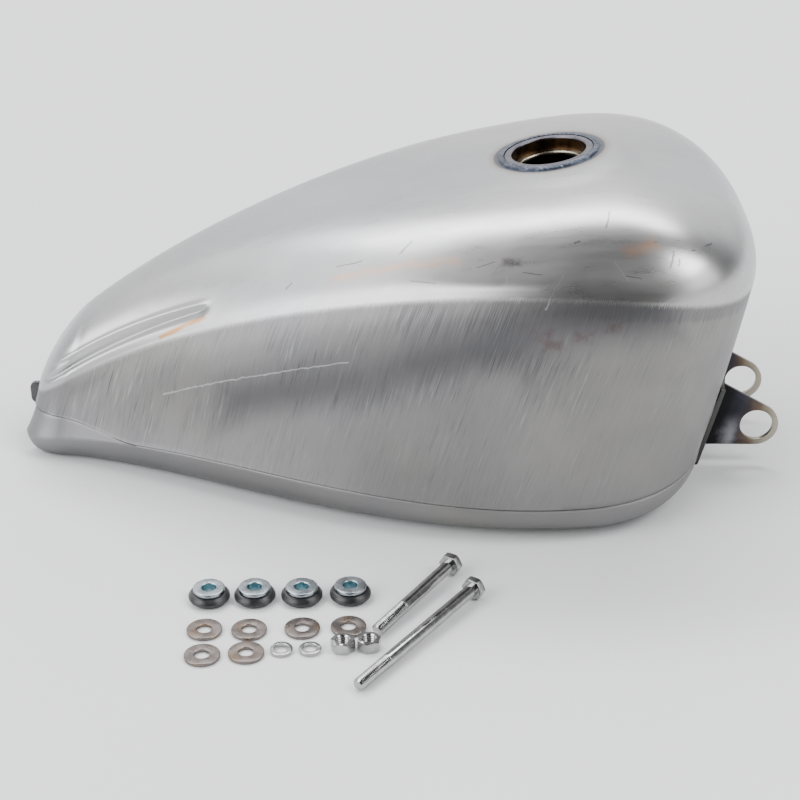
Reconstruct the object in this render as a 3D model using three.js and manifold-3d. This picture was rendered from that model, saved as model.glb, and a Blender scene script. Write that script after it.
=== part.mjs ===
// Motorcycle fuel tank with its loose mounting kit, in millimetres, +Z up, +X towards the front of the bike.
// The tank is a drawn steel top shell welded to two bottom pans and a tunnel that straddles the frame tube.
import * as THREE from 'three';
import { ParametricGeometry } from 'three/addons/geometries/ParametricGeometry.js';
import { mergeVertices } from 'three/addons/utils/BufferGeometryUtils.js';
import Module from 'manifold-3d';

const wasm = await Module();
wasm.setup();

const { lerp, degToRad } = THREE.MathUtils;
const QUARTER_TURN = Math.PI / 2;

// ---- Driving dimensions ----
const GAP = 0.3;
const SHEET = 1.2;

// Tank outline at the shoulder line, seen from above
const NOSE_X = 188.5;
const WIDEST_X = 79;
const HALF_WIDTH = 146;
const NOSE_SQUARENESS = 2.54;
const SIDE_HALF_WIDTHS = [HALF_WIDTH, HALF_WIDTH, 126, 92, 45, 32];
const TAIL_X = -293;
const TAIL_ROUND = 26;
const TAIL_SQUARENESS = 3;
const FILLER_X = 39;
const TAIL_POLE_INSET = 6;

// Heights along the tank from front to tail, in the leaning frame of the drawing die
const LEAN = degToRad(9);
const LEAN_HEIGHT = 100;
const SPINE_HEIGHTS = [205, 205, 207, 197.5, 184.5, 144];
const SHOULDER_HEIGHTS = [117, 198.5, 172.5, 88.5];
const CREASE_HEIGHTS = [0.5, 10, 58.5, 59.5];
const CROWN_SQUARENESS = [1.9, 2.84, 1.9];
const WALL_FLARE_DEGREES = [-3.6, 3.75, 2.6, 13.3];
const PAN_ROLL_RADII = [30, 33, 10.2];
const CREASE_RISE_START_X = -215;
const CREASE_RISE = 0.62;
const CREASE_RISE_POWER = 1.6;

// Frame tunnel
const TUNNEL_REAR_X = -330;
const TUNNEL_FRONT_X = 230;
const TUNNEL_HALF_WIDTHS = [18.5, 30];
const TUNNEL_HEIGHTS = [56, 74];
const TUNNEL_SQUARENESS = 6;

// Filler neck, its weld and the fuel outlet
const NECK_BORE_R = 24.3;
const NECK_OUTER_R = 29.5;
const NECK_LIP = 1.2;
const NECK_DEPTH = 20;
const LEDGE_R = 19.5;
const LEDGE_DEPTH = 7;
const LEDGE_THICKNESS = 3;
const NECK_BEAD_R = 31.8;
const NECK_BEAD_SECTION_R = 2.5;
const BUNG_X = -150;
const BUNG_Y = 45;
const BUNG_R = 14;
const BUNG_BORE_R = 9.3;
const BUNG_HEIGHT = 12;

// Front mounting ears and rear bracket, bent from plate
const PLATE = 3;
const EAR_HALF_SPACING = 34;
const EAR_HOLE_X = 200.3;
const EAR_HOLE_Z = 28;
const EAR_HOLE_R = 11;
const EAR_END_R = 15;
const EAR_ROOT_TOP = [172, 61.1];
const EAR_ROOT_DEPTH = 34;
const FOOT_WIDTH = 19;
const FOOT_LENGTH = 61;
const FOOT_TIP_R = 6;
const FOOT_LEAN = degToRad(14.5);
const FOOT_TURN = degToRad(2);
const FOOT_TOP = [172.4, 62.5];
const EAR_BEAD_R = 2.2;
const REAR_END_X = -303;
const REAR_TOP_Z = 33;
const REAR_HALF_SPACING = 16;
const REAR_LENGTH = 68;
const REAR_LEG_HEIGHT = 17;
const REAR_LOWER_CORNER_R = 6;
const REAR_UPPER_CORNER_R = 4;
const REAR_HOLE_X = -253;
const REAR_HOLE_R = 4.5;

// Mounting kit: 5/16 inch fasteners and 21 mm washers
const INCH = 25.4;
const BOLT_R = INCH * 5 / 32;
const THREAD_LENGTH = 28.5;
const HEX_FLATS = INCH / 2;
const HEAD_HEIGHT = 5.3;
const NUT_HEIGHT = 6.7;
const NUT_BORE_R = 3.45;
const WASHER_R = 10.5;
const WASHER_BORE_R = 4.4;
const WASHER_THICKNESS = 1.7;
const LOCK_WASHER_R = 6.6;
const LOCK_WASHER_BORE_R = 4.1;
const LOCK_WASHER_THICKNESS = 2;
const LOCK_WASHER_SPLIT = 0.9;
const RUBBER_R = 12.5;
const RUBBER_SPIGOT_R = 10.7;
const RUBBER_SPIGOT_HEIGHT = 1.4;
const RUBBER_TOP_R = 10.6;
const RUBBER_HEIGHT = 6.4;
const BUSH_FLANGE_R = 9.65;
const BUSH_FLANGE_THICKNESS = 2.3;
const BUSH_TUBE_R = 5.2;
const BUSH_BORE_R = 4.25;

// Mesh fineness
const NOSE_STEPS = 13;
const SIDE_STEPS = 10;
const TAIL_STEPS = 6;
const HALF_STEPS = NOSE_STEPS + SIDE_STEPS + TAIL_STEPS;
const CROWN_ROWS = 9;
const WALL_ROWS = 3;
const SHELL_ROWS = CROWN_ROWS + WALL_ROWS;
const ROLL_ROWS = 4;
const PAN_ROWS = ROLL_ROWS + 2;
const ROUND_STEPS = 30;
const SMALL_ROUND_STEPS = 20;
const TUNNEL_STEPS = 14;
const PLATE_STEPS = 9;
const BEAD_STEPS = 7;

// ---- Solids ----

// Merges a closed geometry's shared corners and drops its collapsed faces, so that it can be joined and cut.
function solid(geometry) {
  const bare = geometry.clone();
  bare.deleteAttribute('normal');
  bare.deleteAttribute('uv');
  const merged = mergeVertices(bare, 1e-4);
  const corners = merged.index.array;
  const faces = [];
  for (let i = 0; i < corners.length; i += 3) {
    const [a, b, c] = corners.slice(i, i + 3);
    if (a !== b && b !== c && c !== a) faces.push(a, b, c);
  }
  const positions = merged.attributes.position.array;
  if (signedVolume(positions, faces) < 0) faces.reverse();
  return new wasm.Manifold(new wasm.Mesh({
    numProp: 3,
    vertProperties: new Float32Array(positions),
    triVerts: new Uint32Array(faces),
  }));
}

function signedVolume(positions, faces) {
  const point = (i) => new THREE.Vector3().fromArray(positions, 3 * i);
  let volume = 0;
  for (let i = 0; i < faces.length; i += 3) {
    volume += point(faces[i]).dot(point(faces[i + 1]).cross(point(faces[i + 2]))) / 6;
  }
  return volume;
}

function placed(geometry, position, rotation = [0, 0, 0]) {
  const matrix = new THREE.Matrix4().makeRotationFromEuler(new THREE.Euler(...rotation));
  matrix.setPosition(...position);
  return solid(geometry.clone().applyMatrix4(matrix));
}

function joined(solids) {
  return solids.reduce((whole, piece) => whole.add(piece));
}

function cut(body, ...tools) {
  return tools.reduce((rest, tool) => rest.subtract(tool), body);
}

function geometryOf(body) {
  const mesh = body.getMesh();
  const geometry = new THREE.BufferGeometry();
  geometry.setAttribute('position', new THREE.BufferAttribute(mesh.vertProperties, mesh.numProp));
  geometry.setIndex(new THREE.BufferAttribute(mesh.triVerts, 1));
  return geometry;
}

// A smooth value along a row of control values: a Bezier curve by repeated blending.
function along(values, t) {
  let row = values;
  while (row.length > 1) row = row.slice(1).map((value, i) => lerp(row[i], value, t));
  return row[0];
}

function turned(profile, steps = ROUND_STEPS) {
  const geometry = new THREE.LatheGeometry(profile.map(([r, z]) => new THREE.Vector2(r, z)), steps);
  return geometry.rotateX(QUARTER_TURN);
}

function ring(innerR, outerR, bottom, top, steps) {
  return turned([[innerR, bottom], [outerR, bottom], [outerR, top], [innerR, top], [innerR, bottom]], steps);
}

function disc(radius, bottom, top, steps) {
  return turned([[0, bottom], [radius, bottom], [radius, top], [0, top]], steps);
}

// ---- Tank surface ----

const TAIL_ROUND_X = TAIL_X + TAIL_ROUND;
const TAIL_POLE_X = TAIL_ROUND_X + TAIL_POLE_INSET;
const TAIL_HALF_WIDTH = SIDE_HALF_WIDTHS.at(-1);
const SPINE_STEPS_DOWN = SPINE_HEIGHTS.slice(1).map((height, i) => height - SPINE_HEIGHTS[i]);
const TAIL_SLOPE = 5 * (TAIL_HALF_WIDTH - SIDE_HALF_WIDTHS.at(-2)) / (TAIL_ROUND_X - WIDEST_X);

// Half of the outline, from the middle of the nose (0) round one side to the middle of the tail (1).
function outline(half) {
  const step = half * HALF_STEPS;
  if (step <= NOSE_STEPS) {
    const angle = QUARTER_TURN * (step / NOSE_STEPS);
    return {
      x: WIDEST_X + (NOSE_X - WIDEST_X) * Math.cos(angle) ** (2 / NOSE_SQUARENESS),
      y: HALF_WIDTH * Math.sin(angle) ** (2 / NOSE_SQUARENESS),
    };
  }
  if (step <= NOSE_STEPS + SIDE_STEPS) {
    const t = (step - NOSE_STEPS) / SIDE_STEPS;
    return { x: lerp(WIDEST_X, TAIL_ROUND_X, t), y: along(SIDE_HALF_WIDTHS, t) };
  }
  const angle = Math.min(QUARTER_TURN, QUARTER_TURN * (step - NOSE_STEPS - SIDE_STEPS) / TAIL_STEPS);
  const width = TAIL_HALF_WIDTH - TAIL_SLOPE * TAIL_ROUND * Math.sin(angle) / 2;
  return {
    x: TAIL_ROUND_X - TAIL_ROUND * Math.sin(angle) ** (2 / TAIL_SQUARENESS),
    y: width * Math.cos(angle) ** (2 / TAIL_SQUARENESS),
  };
}

// A rib runs from the spine out to the outline, down the wall to the crease and under the pan.
function rib(turn) {
  const side = turn <= 0.5 ? -1 : 1;
  const half = turn <= 0.5 ? 2 * turn : 2 - 2 * turn;
  const edge = outline(half);
  const spineX = THREE.MathUtils.clamp(edge.x, TAIL_POLE_X, FILLER_X);
  const length = Math.hypot(edge.x - spineX, edge.y);
  const behindFiller = (FILLER_X - spineX) / (FILLER_X - TAIL_POLE_X);
  const behindNose = (NOSE_X - edge.x) / (NOSE_X - TAIL_X);
  const rise = Math.max(0, CREASE_RISE_START_X - edge.x) / (CREASE_RISE_START_X - TAIL_X);
  return {
    spineX,
    length,
    directionX: (edge.x - spineX) / length,
    directionY: side * Math.abs(edge.y) / length,
    spineZ: along(SPINE_HEIGHTS, behindFiller),
    spineSlope: 5 * along(SPINE_STEPS_DOWN, behindFiller) / (TAIL_POLE_X - FILLER_X),
    shoulderZ: along(SHOULDER_HEIGHTS, behindNose),
    creaseZ: along(CREASE_HEIGHTS, behindNose),
    flare: Math.tan(degToRad(along(WALL_FLARE_DEGREES, behindNose))),
    crown: along(CROWN_SQUARENESS, behindNose),
    roll: along(PAN_ROLL_RADII, behindNose),
    creaseLevel: 1 - CREASE_RISE * rise ** CREASE_RISE_POWER,
  };
}

function leaned(x, y, z) {
  const rise = z - LEAN_HEIGHT;
  return new THREE.Vector3(
    x * Math.cos(LEAN) + rise * Math.sin(LEAN),
    y,
    rise * Math.cos(LEAN) + x * Math.sin(LEAN) + LEAN_HEIGHT,
  );
}

function ribPoint(line, reach, z) {
  return leaned(line.spineX + line.directionX * reach, line.directionY * reach, z);
}

// A point on the side wall, from the shoulder (0) down to the wall's foot (1)
function wallPoint(line, down, inset) {
  const wall = line.shoulderZ - line.creaseZ;
  const flared = line.flare * wall * down * (0.35 + 0.65 * down);
  return ribPoint(line, line.length - inset + flared, line.shoulderZ - wall * down);
}

// The crease between shell and pans runs along the wall's foot, and rises towards the tail.
function shellPoint(line, row, inset) {
  if (row >= CROWN_ROWS) {
    return wallPoint(line, line.creaseLevel * (row - CROWN_ROWS) / WALL_ROWS, inset);
  }
  const angle = QUARTER_TURN * row / CROWN_ROWS;
  const reach = (line.length - inset) * Math.sin(angle) ** (2 / line.crown);
  const ridge = line.spineZ - inset + line.spineSlope * line.directionX * reach;
  const rise = Math.cos(angle) ** (2 / line.crown);
  return ribPoint(line, reach, lerp(line.shoulderZ, ridge, rise));
}

// Row 0 is at the crease and row 1 at the wall's foot. Then the pan rolls under and runs flat to the middle.
function panPoint(line, row, inset) {
  if (row === 0) return wallPoint(line, line.creaseLevel, inset);
  const foot = wallPoint(line, 1, inset);
  const angle = QUARTER_TURN * Math.min((row - 1) / ROLL_ROWS, 1);
  const inward = line.roll * (1 - Math.cos(angle));
  const point = new THREE.Vector3(
    foot.x - line.directionX * inward,
    foot.y - line.directionY * inward,
    lerp(foot.z, inset, Math.sin(angle)),
  );
  if (row === PAN_ROWS) point.set(line.spineX * Math.cos(LEAN) - 12, 0, inset);
  return point;
}

// A closed sheet: out from the centre line over the outside, across the edge and back along the inside.
function sheetGeometry(pointAt, rows, edgeLift) {
  const stacks = 2 * rows + 1;
  const surface = (turn, level, target) => {
    const line = rib(turn);
    const step = Math.round(level * stacks);
    const outside = step <= rows;
    const row = outside ? step : stacks - step;
    target.copy(pointAt(line, row, outside ? 0 : SHEET));
    if (row === rows) target.z += edgeLift;
  };
  return new ParametricGeometry(surface, 2 * HALF_STEPS, stacks);
}

// The whole outer skin as one block, grown by a clearance, to trim what meets it.
function envelope(clearance) {
  const rows = SHELL_ROWS + PAN_ROWS;
  const surface = (turn, level, target) => {
    const line = rib(turn);
    const row = Math.round(level * rows);
    const point = row <= SHELL_ROWS
      ? shellPoint(line, row, -clearance)
      : panPoint(line, row - SHELL_ROWS, -clearance);
    target.copy(point);
  };
  return solid(new ParametricGeometry(surface, 2 * HALF_STEPS, rows));
}

// The tunnel's arched section, tapered from the front to the rear.
function tunnelBlock(growth) {
  const section = new THREE.Shape();
  section.moveTo(1, -1);
  for (let i = 0; i <= TUNNEL_STEPS; i += 1) {
    const angle = Math.PI * (i / TUNNEL_STEPS);
    const across = Math.sign(Math.cos(angle)) * Math.abs(Math.cos(angle)) ** (2 / TUNNEL_SQUARENESS);
    section.lineTo(across, Math.sin(angle) ** (2 / TUNNEL_SQUARENESS));
  }
  section.lineTo(-1, -1);
  const geometry = new THREE.ExtrudeGeometry(section, { depth: 1, steps: 1, bevelEnabled: false });
  const position = geometry.attributes.position;
  for (let i = 0; i < position.count; i += 1) {
    const t = position.getZ(i);
    const up = position.getY(i);
    const halfWidth = lerp(...TUNNEL_HALF_WIDTHS, t) + growth;
    const height = up < 0 ? 10 : lerp(...TUNNEL_HEIGHTS, t) + growth;
    position.setXYZ(i, lerp(TUNNEL_REAR_X, TUNNEL_FRONT_X, t), position.getX(i) * halfWidth, up * height);
  }
  return solid(geometry);
}

const outerSkin = envelope(0);
const trimSkin = envelope(GAP);
const tunnelOuter = tunnelBlock(0);
const tunnelTrim = tunnelBlock(GAP);

// A point on the outer skin straight below or above a place in the filler's own tilted frame.
const skinMesh = new THREE.Mesh(
  geometryOf(outerSkin),
  new THREE.MeshBasicMaterial({ side: THREE.DoubleSide }),
);
const fillerCentre = leaned(FILLER_X, 0, SPINE_HEIGHTS[0]);
const fillerFrame = new THREE.Matrix4().makeRotationY(-LEAN).setPosition(fillerCentre);

function onSkin(x, y) {
  const from = new THREE.Vector3(x, y, 60).applyMatrix4(fillerFrame);
  const down = new THREE.Vector3(0, 0, -1).transformDirection(fillerFrame);
  return new THREE.Raycaster(from, down).intersectObject(skinMesh)[0].point;
}

// ---- Tank pieces ----

function inFillerFrame(geometry) {
  return solid(geometry.clone().applyMatrix4(fillerFrame));
}

function upperShell() {
  const sheet = solid(sheetGeometry(shellPoint, SHELL_ROWS, GAP));
  return cut(sheet, tunnelTrim, inFillerFrame(disc(NECK_OUTER_R + GAP, -40, 20)));
}

function bottomPan(side) {
  const fromCentre = (line, row, inset) => panPoint(line, PAN_ROWS - row, inset);
  const sheet = solid(sheetGeometry(fromCentre, PAN_ROWS, 0));
  const otherHalf = placed(new THREE.BoxGeometry(800, 400, 400), [0, -side * 200, 0]);
  const outlet = placed(disc(BUNG_R + GAP, -10, 30), [BUNG_X, BUNG_Y, 0]);
  return cut(sheet, tunnelTrim, otherHalf, outlet);
}

function tunnel() {
  return cut(tunnelOuter, tunnelBlock(-SHEET)).intersect(outerSkin);
}

function fillerNeck() {
  const profile = [
    [NECK_BORE_R, NECK_LIP], [NECK_BORE_R, -LEDGE_DEPTH], [LEDGE_R, -LEDGE_DEPTH],
    [LEDGE_R, -LEDGE_DEPTH - LEDGE_THICKNESS], [NECK_BORE_R, -LEDGE_DEPTH - LEDGE_THICKNESS],
    [NECK_BORE_R, -NECK_DEPTH], [NECK_OUTER_R, -NECK_DEPTH], [NECK_OUTER_R, NECK_LIP - 0.6],
    [NECK_OUTER_R - 0.6, NECK_LIP], [NECK_BORE_R, NECK_LIP],
  ];
  return inFillerFrame(turned(profile));
}

// Weld bead round the neck, laid on the skin
function fillerWeld() {
  const up = new THREE.Vector3(0, 0, 1).transformDirection(fillerFrame);
  const surface = (around, section, target) => {
    const angle = 2 * Math.PI * around;
    const turn = 2 * Math.PI * section;
    const outward = new THREE.Vector3(Math.cos(angle), Math.sin(angle), 0).transformDirection(fillerFrame);
    target.copy(onSkin(NECK_BEAD_R * Math.cos(angle), NECK_BEAD_R * Math.sin(angle)));
    target.addScaledVector(outward, NECK_BEAD_SECTION_R * Math.cos(turn));
    target.addScaledVector(up, NECK_BEAD_SECTION_R * Math.sin(turn));
  };
  const bead = solid(new ParametricGeometry(surface, ROUND_STEPS, BEAD_STEPS));
  return cut(bead, trimSkin, inFillerFrame(disc(NECK_OUTER_R + GAP, -40, 20)));
}

function petcockBung() {
  return placed(ring(BUNG_BORE_R, BUNG_R, 0, BUNG_HEIGHT, SMALL_ROUND_STEPS), [BUNG_X, BUNG_Y, 0]);
}

// A flat outline in the XZ plane, as thick as the plate, centred on the given Y
function sidePlate(shape, y) {
  const geometry = new THREE.ExtrudeGeometry(shape, {
    depth: PLATE, bevelEnabled: false, curveSegments: PLATE_STEPS,
  });
  return placed(geometry, [0, y + PLATE / 2, 0], [QUARTER_TURN, 0, 0]);
}

function roundHole(shape, x, y, radius) {
  shape.holes.push(new THREE.Path().absarc(x, y, radius, 0, 2 * Math.PI, true));
}

function frontEarPlate(side) {
  const [rootX, rootZ] = EAR_ROOT_TOP;
  const reach = Math.hypot(EAR_HOLE_X - rootX, EAR_HOLE_Z - rootZ);
  const toRoot = Math.atan2(rootZ - EAR_HOLE_Z, rootX - EAR_HOLE_X);
  const tangent = toRoot - Math.acos(EAR_END_R / reach);
  const shape = new THREE.Shape();
  shape.moveTo(rootX, rootZ);
  shape.lineTo(rootX - EAR_ROOT_DEPTH, rootZ);
  shape.lineTo(rootX - EAR_ROOT_DEPTH, EAR_HOLE_Z - EAR_END_R);
  shape.absarc(EAR_HOLE_X, EAR_HOLE_Z, EAR_END_R, -QUARTER_TURN, tangent, false);
  roundHole(shape, EAR_HOLE_X, EAR_HOLE_Z, EAR_HOLE_R);
  return sidePlate(shape, side * EAR_HALF_SPACING);
}

// The foot lies along the front wall, outboard of the ear plate, and its lower corners are rounded.
function frontEarFoot(side) {
  const shape = new THREE.Shape();
  shape.moveTo(0, 0);
  shape.lineTo(0, FOOT_TIP_R - FOOT_LENGTH);
  shape.absarc(FOOT_TIP_R, FOOT_TIP_R - FOOT_LENGTH, FOOT_TIP_R, Math.PI, 1.5 * Math.PI, false);
  shape.absarc(FOOT_WIDTH - FOOT_TIP_R, FOOT_TIP_R - FOOT_LENGTH, FOOT_TIP_R, -QUARTER_TURN, 0, false);
  shape.lineTo(FOOT_WIDTH, 0);
  const foot = new THREE.ExtrudeGeometry(shape, { depth: PLATE, bevelEnabled: false, curveSegments: 4 });
  foot.applyMatrix4(new THREE.Matrix4().set(0, 0, 1, 0, side, 0, 0, 0, 0, 1, 0, 0, 0, 0, 0, 1));
  foot.rotateY(FOOT_LEAN);
  foot.rotateZ(side * FOOT_TURN);
  foot.translate(FOOT_TOP[0], side * (EAR_HALF_SPACING - PLATE / 2), FOOT_TOP[1]);
  return solid(foot);
}

function frontEar(side) {
  return cut(frontEarPlate(side).add(frontEarFoot(side)), trimSkin);
}

// Fillet weld down the outboard edge of the foot
function frontEarWeld(side) {
  const y = side * (EAR_HALF_SPACING - PLATE / 2 + FOOT_WIDTH + EAR_BEAD_R + 2 * GAP);
  const points = [];
  for (let z = FOOT_TOP[1] - 3; z > FOOT_TOP[1] - FOOT_LENGTH + 24; z -= 5) {
    const from = new THREE.Vector3(400, y, z);
    points.push(new THREE.Raycaster(from, new THREE.Vector3(-1, 0, 0)).intersectObject(skinMesh)[0].point);
  }
  const section = new THREE.Shape().absarc(0, 0, EAR_BEAD_R, 0, 2 * Math.PI, false);
  const bead = new THREE.ExtrudeGeometry(section, {
    steps: 8, curveSegments: BEAD_STEPS, extrudePath: new THREE.CatmullRomCurve3(points),
  });
  return cut(solid(bead), trimSkin);
}

// An inverted channel that stands out behind the tail, with one upright bolt hole in its web
function rearBracket() {
  const frontX = REAR_END_X + REAR_LENGTH;
  const bottom = REAR_TOP_Z - REAR_LEG_HEIGHT;
  const legs = [-1, 1].map((side) => {
    const shape = new THREE.Shape();
    shape.moveTo(frontX, bottom);
    shape.lineTo(frontX, REAR_TOP_Z);
    const upper = [REAR_END_X + REAR_UPPER_CORNER_R, REAR_TOP_Z - REAR_UPPER_CORNER_R];
    shape.absarc(...upper, REAR_UPPER_CORNER_R, QUARTER_TURN, Math.PI, false);
    const lower = [REAR_END_X + REAR_LOWER_CORNER_R, bottom + REAR_LOWER_CORNER_R];
    shape.absarc(...lower, REAR_LOWER_CORNER_R, Math.PI, 1.5 * Math.PI, false);
    return sidePlate(shape, side * REAR_HALF_SPACING);
  });
  const webLength = REAR_LENGTH - REAR_UPPER_CORNER_R;
  const webZ = REAR_TOP_Z - PLATE / 2;
  const webBlock = new THREE.BoxGeometry(webLength, 2 * REAR_HALF_SPACING, PLATE);
  const web = placed(webBlock, [frontX - webLength / 2, 0, webZ]);
  const hole = placed(disc(REAR_HOLE_R, -PLATE, PLATE, SMALL_ROUND_STEPS), [REAR_HOLE_X, 0, webZ]);
  return cut(joined([...legs, web]), hole).intersect(tunnelBlock(-SHEET - GAP));
}

// ---- Mounting kit pieces, each about its own centre with its lowest face at 0 ----

function hexPrism(bottom, top) {
  const shape = new THREE.Shape();
  for (let i = 0; i < 6; i += 1) {
    const angle = Math.PI / 6 + Math.PI * i / 3;
    const corner = [HEX_FLATS / Math.sqrt(3) * Math.cos(angle), HEX_FLATS / Math.sqrt(3) * Math.sin(angle)];
    if (i === 0) shape.moveTo(...corner);
    else shape.lineTo(...corner);
  }
  const geometry = new THREE.ExtrudeGeometry(shape, { depth: top - bottom, bevelEnabled: false });
  return placed(geometry, [0, 0, bottom]);
}

// Rounds the corners of a hexagon's end faces, as a 30 degree chamfer does
function chamferBlock(bottom, top, chamferBottom) {
  const cornerR = HEX_FLATS / Math.sqrt(3) + 0.1;
  const faceR = HEX_FLATS / 2 - 0.1;
  const drop = (cornerR - faceR) * Math.tan(Math.PI / 6);
  const foot = chamferBottom ? [[faceR, bottom], [cornerR, bottom + drop]] : [[cornerR, bottom]];
  const profile = [[0, bottom], ...foot];
  profile.push([cornerR, top - drop], [faceR, top], [0, top]);
  return solid(turned(profile, SMALL_ROUND_STEPS));
}

function hexNut() {
  const block = hexPrism(0, NUT_HEIGHT).intersect(chamferBlock(0, NUT_HEIGHT, true));
  return cut(block, solid(disc(NUT_BORE_R, -1, NUT_HEIGHT + 1, SMALL_ROUND_STEPS)));
}

// Bolt along +Z from the outer face of its head to its tip
function hexBolt(length) {
  const end = HEAD_HEIGHT + length;
  const threadR = BOLT_R - 0.25;
  const head = hexPrism(0, HEAD_HEIGHT);
  const chamfer = chamferBlock(-HEAD_HEIGHT, 0, false);
  const shank = turned([
    [0, HEAD_HEIGHT - 1], [BOLT_R, HEAD_HEIGHT - 1], [BOLT_R, end - THREAD_LENGTH],
    [threadR, end - THREAD_LENGTH + 0.5], [threadR, end - 1.2], [threadR - 1.1, end], [0, end],
  ], SMALL_ROUND_STEPS);
  return head.intersect(chamfer.rotate([180, 0, 0])).add(solid(shank));
}

function lockWasher() {
  const body = solid(ring(LOCK_WASHER_BORE_R, LOCK_WASHER_R, 0, LOCK_WASHER_THICKNESS, SMALL_ROUND_STEPS));
  const slot = new THREE.BoxGeometry(LOCK_WASHER_R, LOCK_WASHER_SPLIT, 10);
  return cut(body, placed(slot, [LOCK_WASHER_R, 0, 0], [0, 0, 0.12]));
}

function rubberMount() {
  const bore = BUSH_TUBE_R + GAP;
  return solid(turned([
    [bore, 0], [RUBBER_SPIGOT_R - 0.6, 0], [RUBBER_SPIGOT_R, 0.5], [RUBBER_SPIGOT_R, RUBBER_SPIGOT_HEIGHT],
    [RUBBER_R - 0.6, RUBBER_SPIGOT_HEIGHT + 0.2], [RUBBER_R, RUBBER_SPIGOT_HEIGHT + 1.2],
    [RUBBER_R, RUBBER_SPIGOT_HEIGHT + 2.2], [RUBBER_R - 0.6, RUBBER_HEIGHT - 1.2],
    [RUBBER_TOP_R, RUBBER_HEIGHT], [bore, RUBBER_HEIGHT], [bore, 0],
  ], SMALL_ROUND_STEPS));
}

function flangedBush() {
  const flangeBottom = RUBBER_HEIGHT + GAP;
  const flangeTop = flangeBottom + BUSH_FLANGE_THICKNESS;
  return solid(turned([
    [BUSH_BORE_R, GAP], [BUSH_TUBE_R, GAP], [BUSH_TUBE_R, flangeBottom], [BUSH_FLANGE_R, flangeBottom],
    [BUSH_FLANGE_R, flangeTop - 0.5], [BUSH_FLANGE_R - 0.5, flangeTop],
    [BUSH_BORE_R, flangeTop], [BUSH_BORE_R, GAP],
  ], SMALL_ROUND_STEPS));
}

// ---- Materials ----

function metal(color, roughness) {
  return new THREE.MeshStandardMaterial({ color, roughness, metalness: 1 });
}

const materials = {
  rawSteel: () => metal(0xb4b2b0, 0.34),
  insideSteel: () => metal(0x8a7a5c, 0.45),
  weld: () => metal(0x6c7078, 0.5),
  heatTintedSteel: () => metal(0x6b5f50, 0.42),
  blackSteel: () => new THREE.MeshStandardMaterial({ color: 0x151515, roughness: 0.4, metalness: 0.2 }),
  zinc: () => metal(0xb9c2c6, 0.32),
  washerSteel: () => metal(0x8f857b, 0.38),
  brightSteel: () => metal(0xd2d2d4, 0.16),
  rubber: () => new THREE.MeshStandardMaterial({ color: 0x101112, roughness: 0.55, metalness: 0 }),
};

// ---- Assembly ----

const kit = new THREE.Group();

function add(name, body, material, position = [0, 0, 0], rotation = [0, 0, 0]) {
  const mesh = new THREE.Mesh(geometryOf(body), material());
  mesh.name = name;
  mesh.position.set(...position);
  mesh.rotation.set(...rotation, 'ZYX');
  kit.add(mesh);
}

const SIDES = { right: -1, left: 1 };

add('upper_shell', upperShell(), materials.rawSteel);
add('tunnel', tunnel(), materials.rawSteel);
add('filler_neck', fillerNeck(), materials.insideSteel);
add('filler_weld', fillerWeld(), materials.weld);
add('petcock_bung', petcockBung(), materials.insideSteel);
add('rear_mount_bracket', rearBracket(), materials.blackSteel);
for (const [name, side] of Object.entries(SIDES)) {
  add(`bottom_pan_${name}`, bottomPan(side), materials.rawSteel);
  add(`front_ear_${name}`, frontEar(side), materials.heatTintedSteel);
  add(`front_ear_weld_${name}`, frontEarWeld(side), materials.weld);
}

// The loose kit lies on the floor on the tank's right side, in three rows with two bolts beside them.
const RUBBER_PLACES = [[-155, -210.7], [-127.6, -209.6], [-99.3, -209.1], [-70.2, -207.2]];
const WASHER_PLACES = [
  [-154.6, -243.9], [-128.4, -243.7], [-97.3, -241.9], [-70.2, -240.1], [-153.3, -269.7], [-128.2, -267],
];
const LOCK_WASHER_PLACES = [[-108.1, -263.8], [-91.5, -263]];
const NUT_PLACES = [[-72.7, -261.2, 22.4], [-57.6, -259.9, -9.6]];
const BOLTS = [
  { name: 'short_bolt', length: 3.125 * INCH, head: [-7.8, -177.6], heading: degToRad(237.3) },
  { name: 'long_bolt', length: 4.5 * INCH, head: [5.6, -204.5], heading: degToRad(235) },
];

RUBBER_PLACES.forEach(([x, y], i) => {
  add(`rubber_mount_${i + 1}`, rubberMount(), materials.rubber, [x, y, 0]);
  add(`flanged_bush_${i + 1}`, flangedBush(), materials.zinc, [x, y, 0]);
});
WASHER_PLACES.forEach(([x, y], i) => {
  const washer = solid(ring(WASHER_BORE_R, WASHER_R, 0, WASHER_THICKNESS, SMALL_ROUND_STEPS));
  add(`flat_washer_${i + 1}`, washer, materials.washerSteel, [x, y, 0]);
});
LOCK_WASHER_PLACES.forEach(([x, y], i) => {
  add(`lock_washer_${i + 1}`, lockWasher(), materials.brightSteel, [x, y, 0]);
});
NUT_PLACES.forEach(([x, y, turn], i) => {
  add(`hex_nut_${i + 1}`, hexNut(), materials.brightSteel, [x, y, 0], [0, 0, degToRad(turn)]);
});

// A bolt lies on a flat of its head and on the rim of its tip, so it dips slightly towards the tip.
for (const { name, length, head, heading } of BOLTS) {
  const dip = Math.atan((HEX_FLATS / 2 - BOLT_R) / length);
  const headHeight = HEX_FLATS / 2 * Math.cos(dip) + HEAD_HEIGHT * Math.sin(dip);
  add(name, hexBolt(length), materials.brightSteel, [...head, headHeight], [0, QUARTER_TURN + dip, heading]);
}

// The origin is the middle of everything's footprint, on the floor.
const box = new THREE.Box3().setFromObject(kit, true);
const centre = box.getCenter(new THREE.Vector3());
kit.position.set(-centre.x, -centre.y, -box.min.z);

export default kit;
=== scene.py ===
import math
import random

import bmesh
import bpy
import numpy as np
from mathutils import Matrix, Vector
from mathutils.bvhtree import BVHTree


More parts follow.
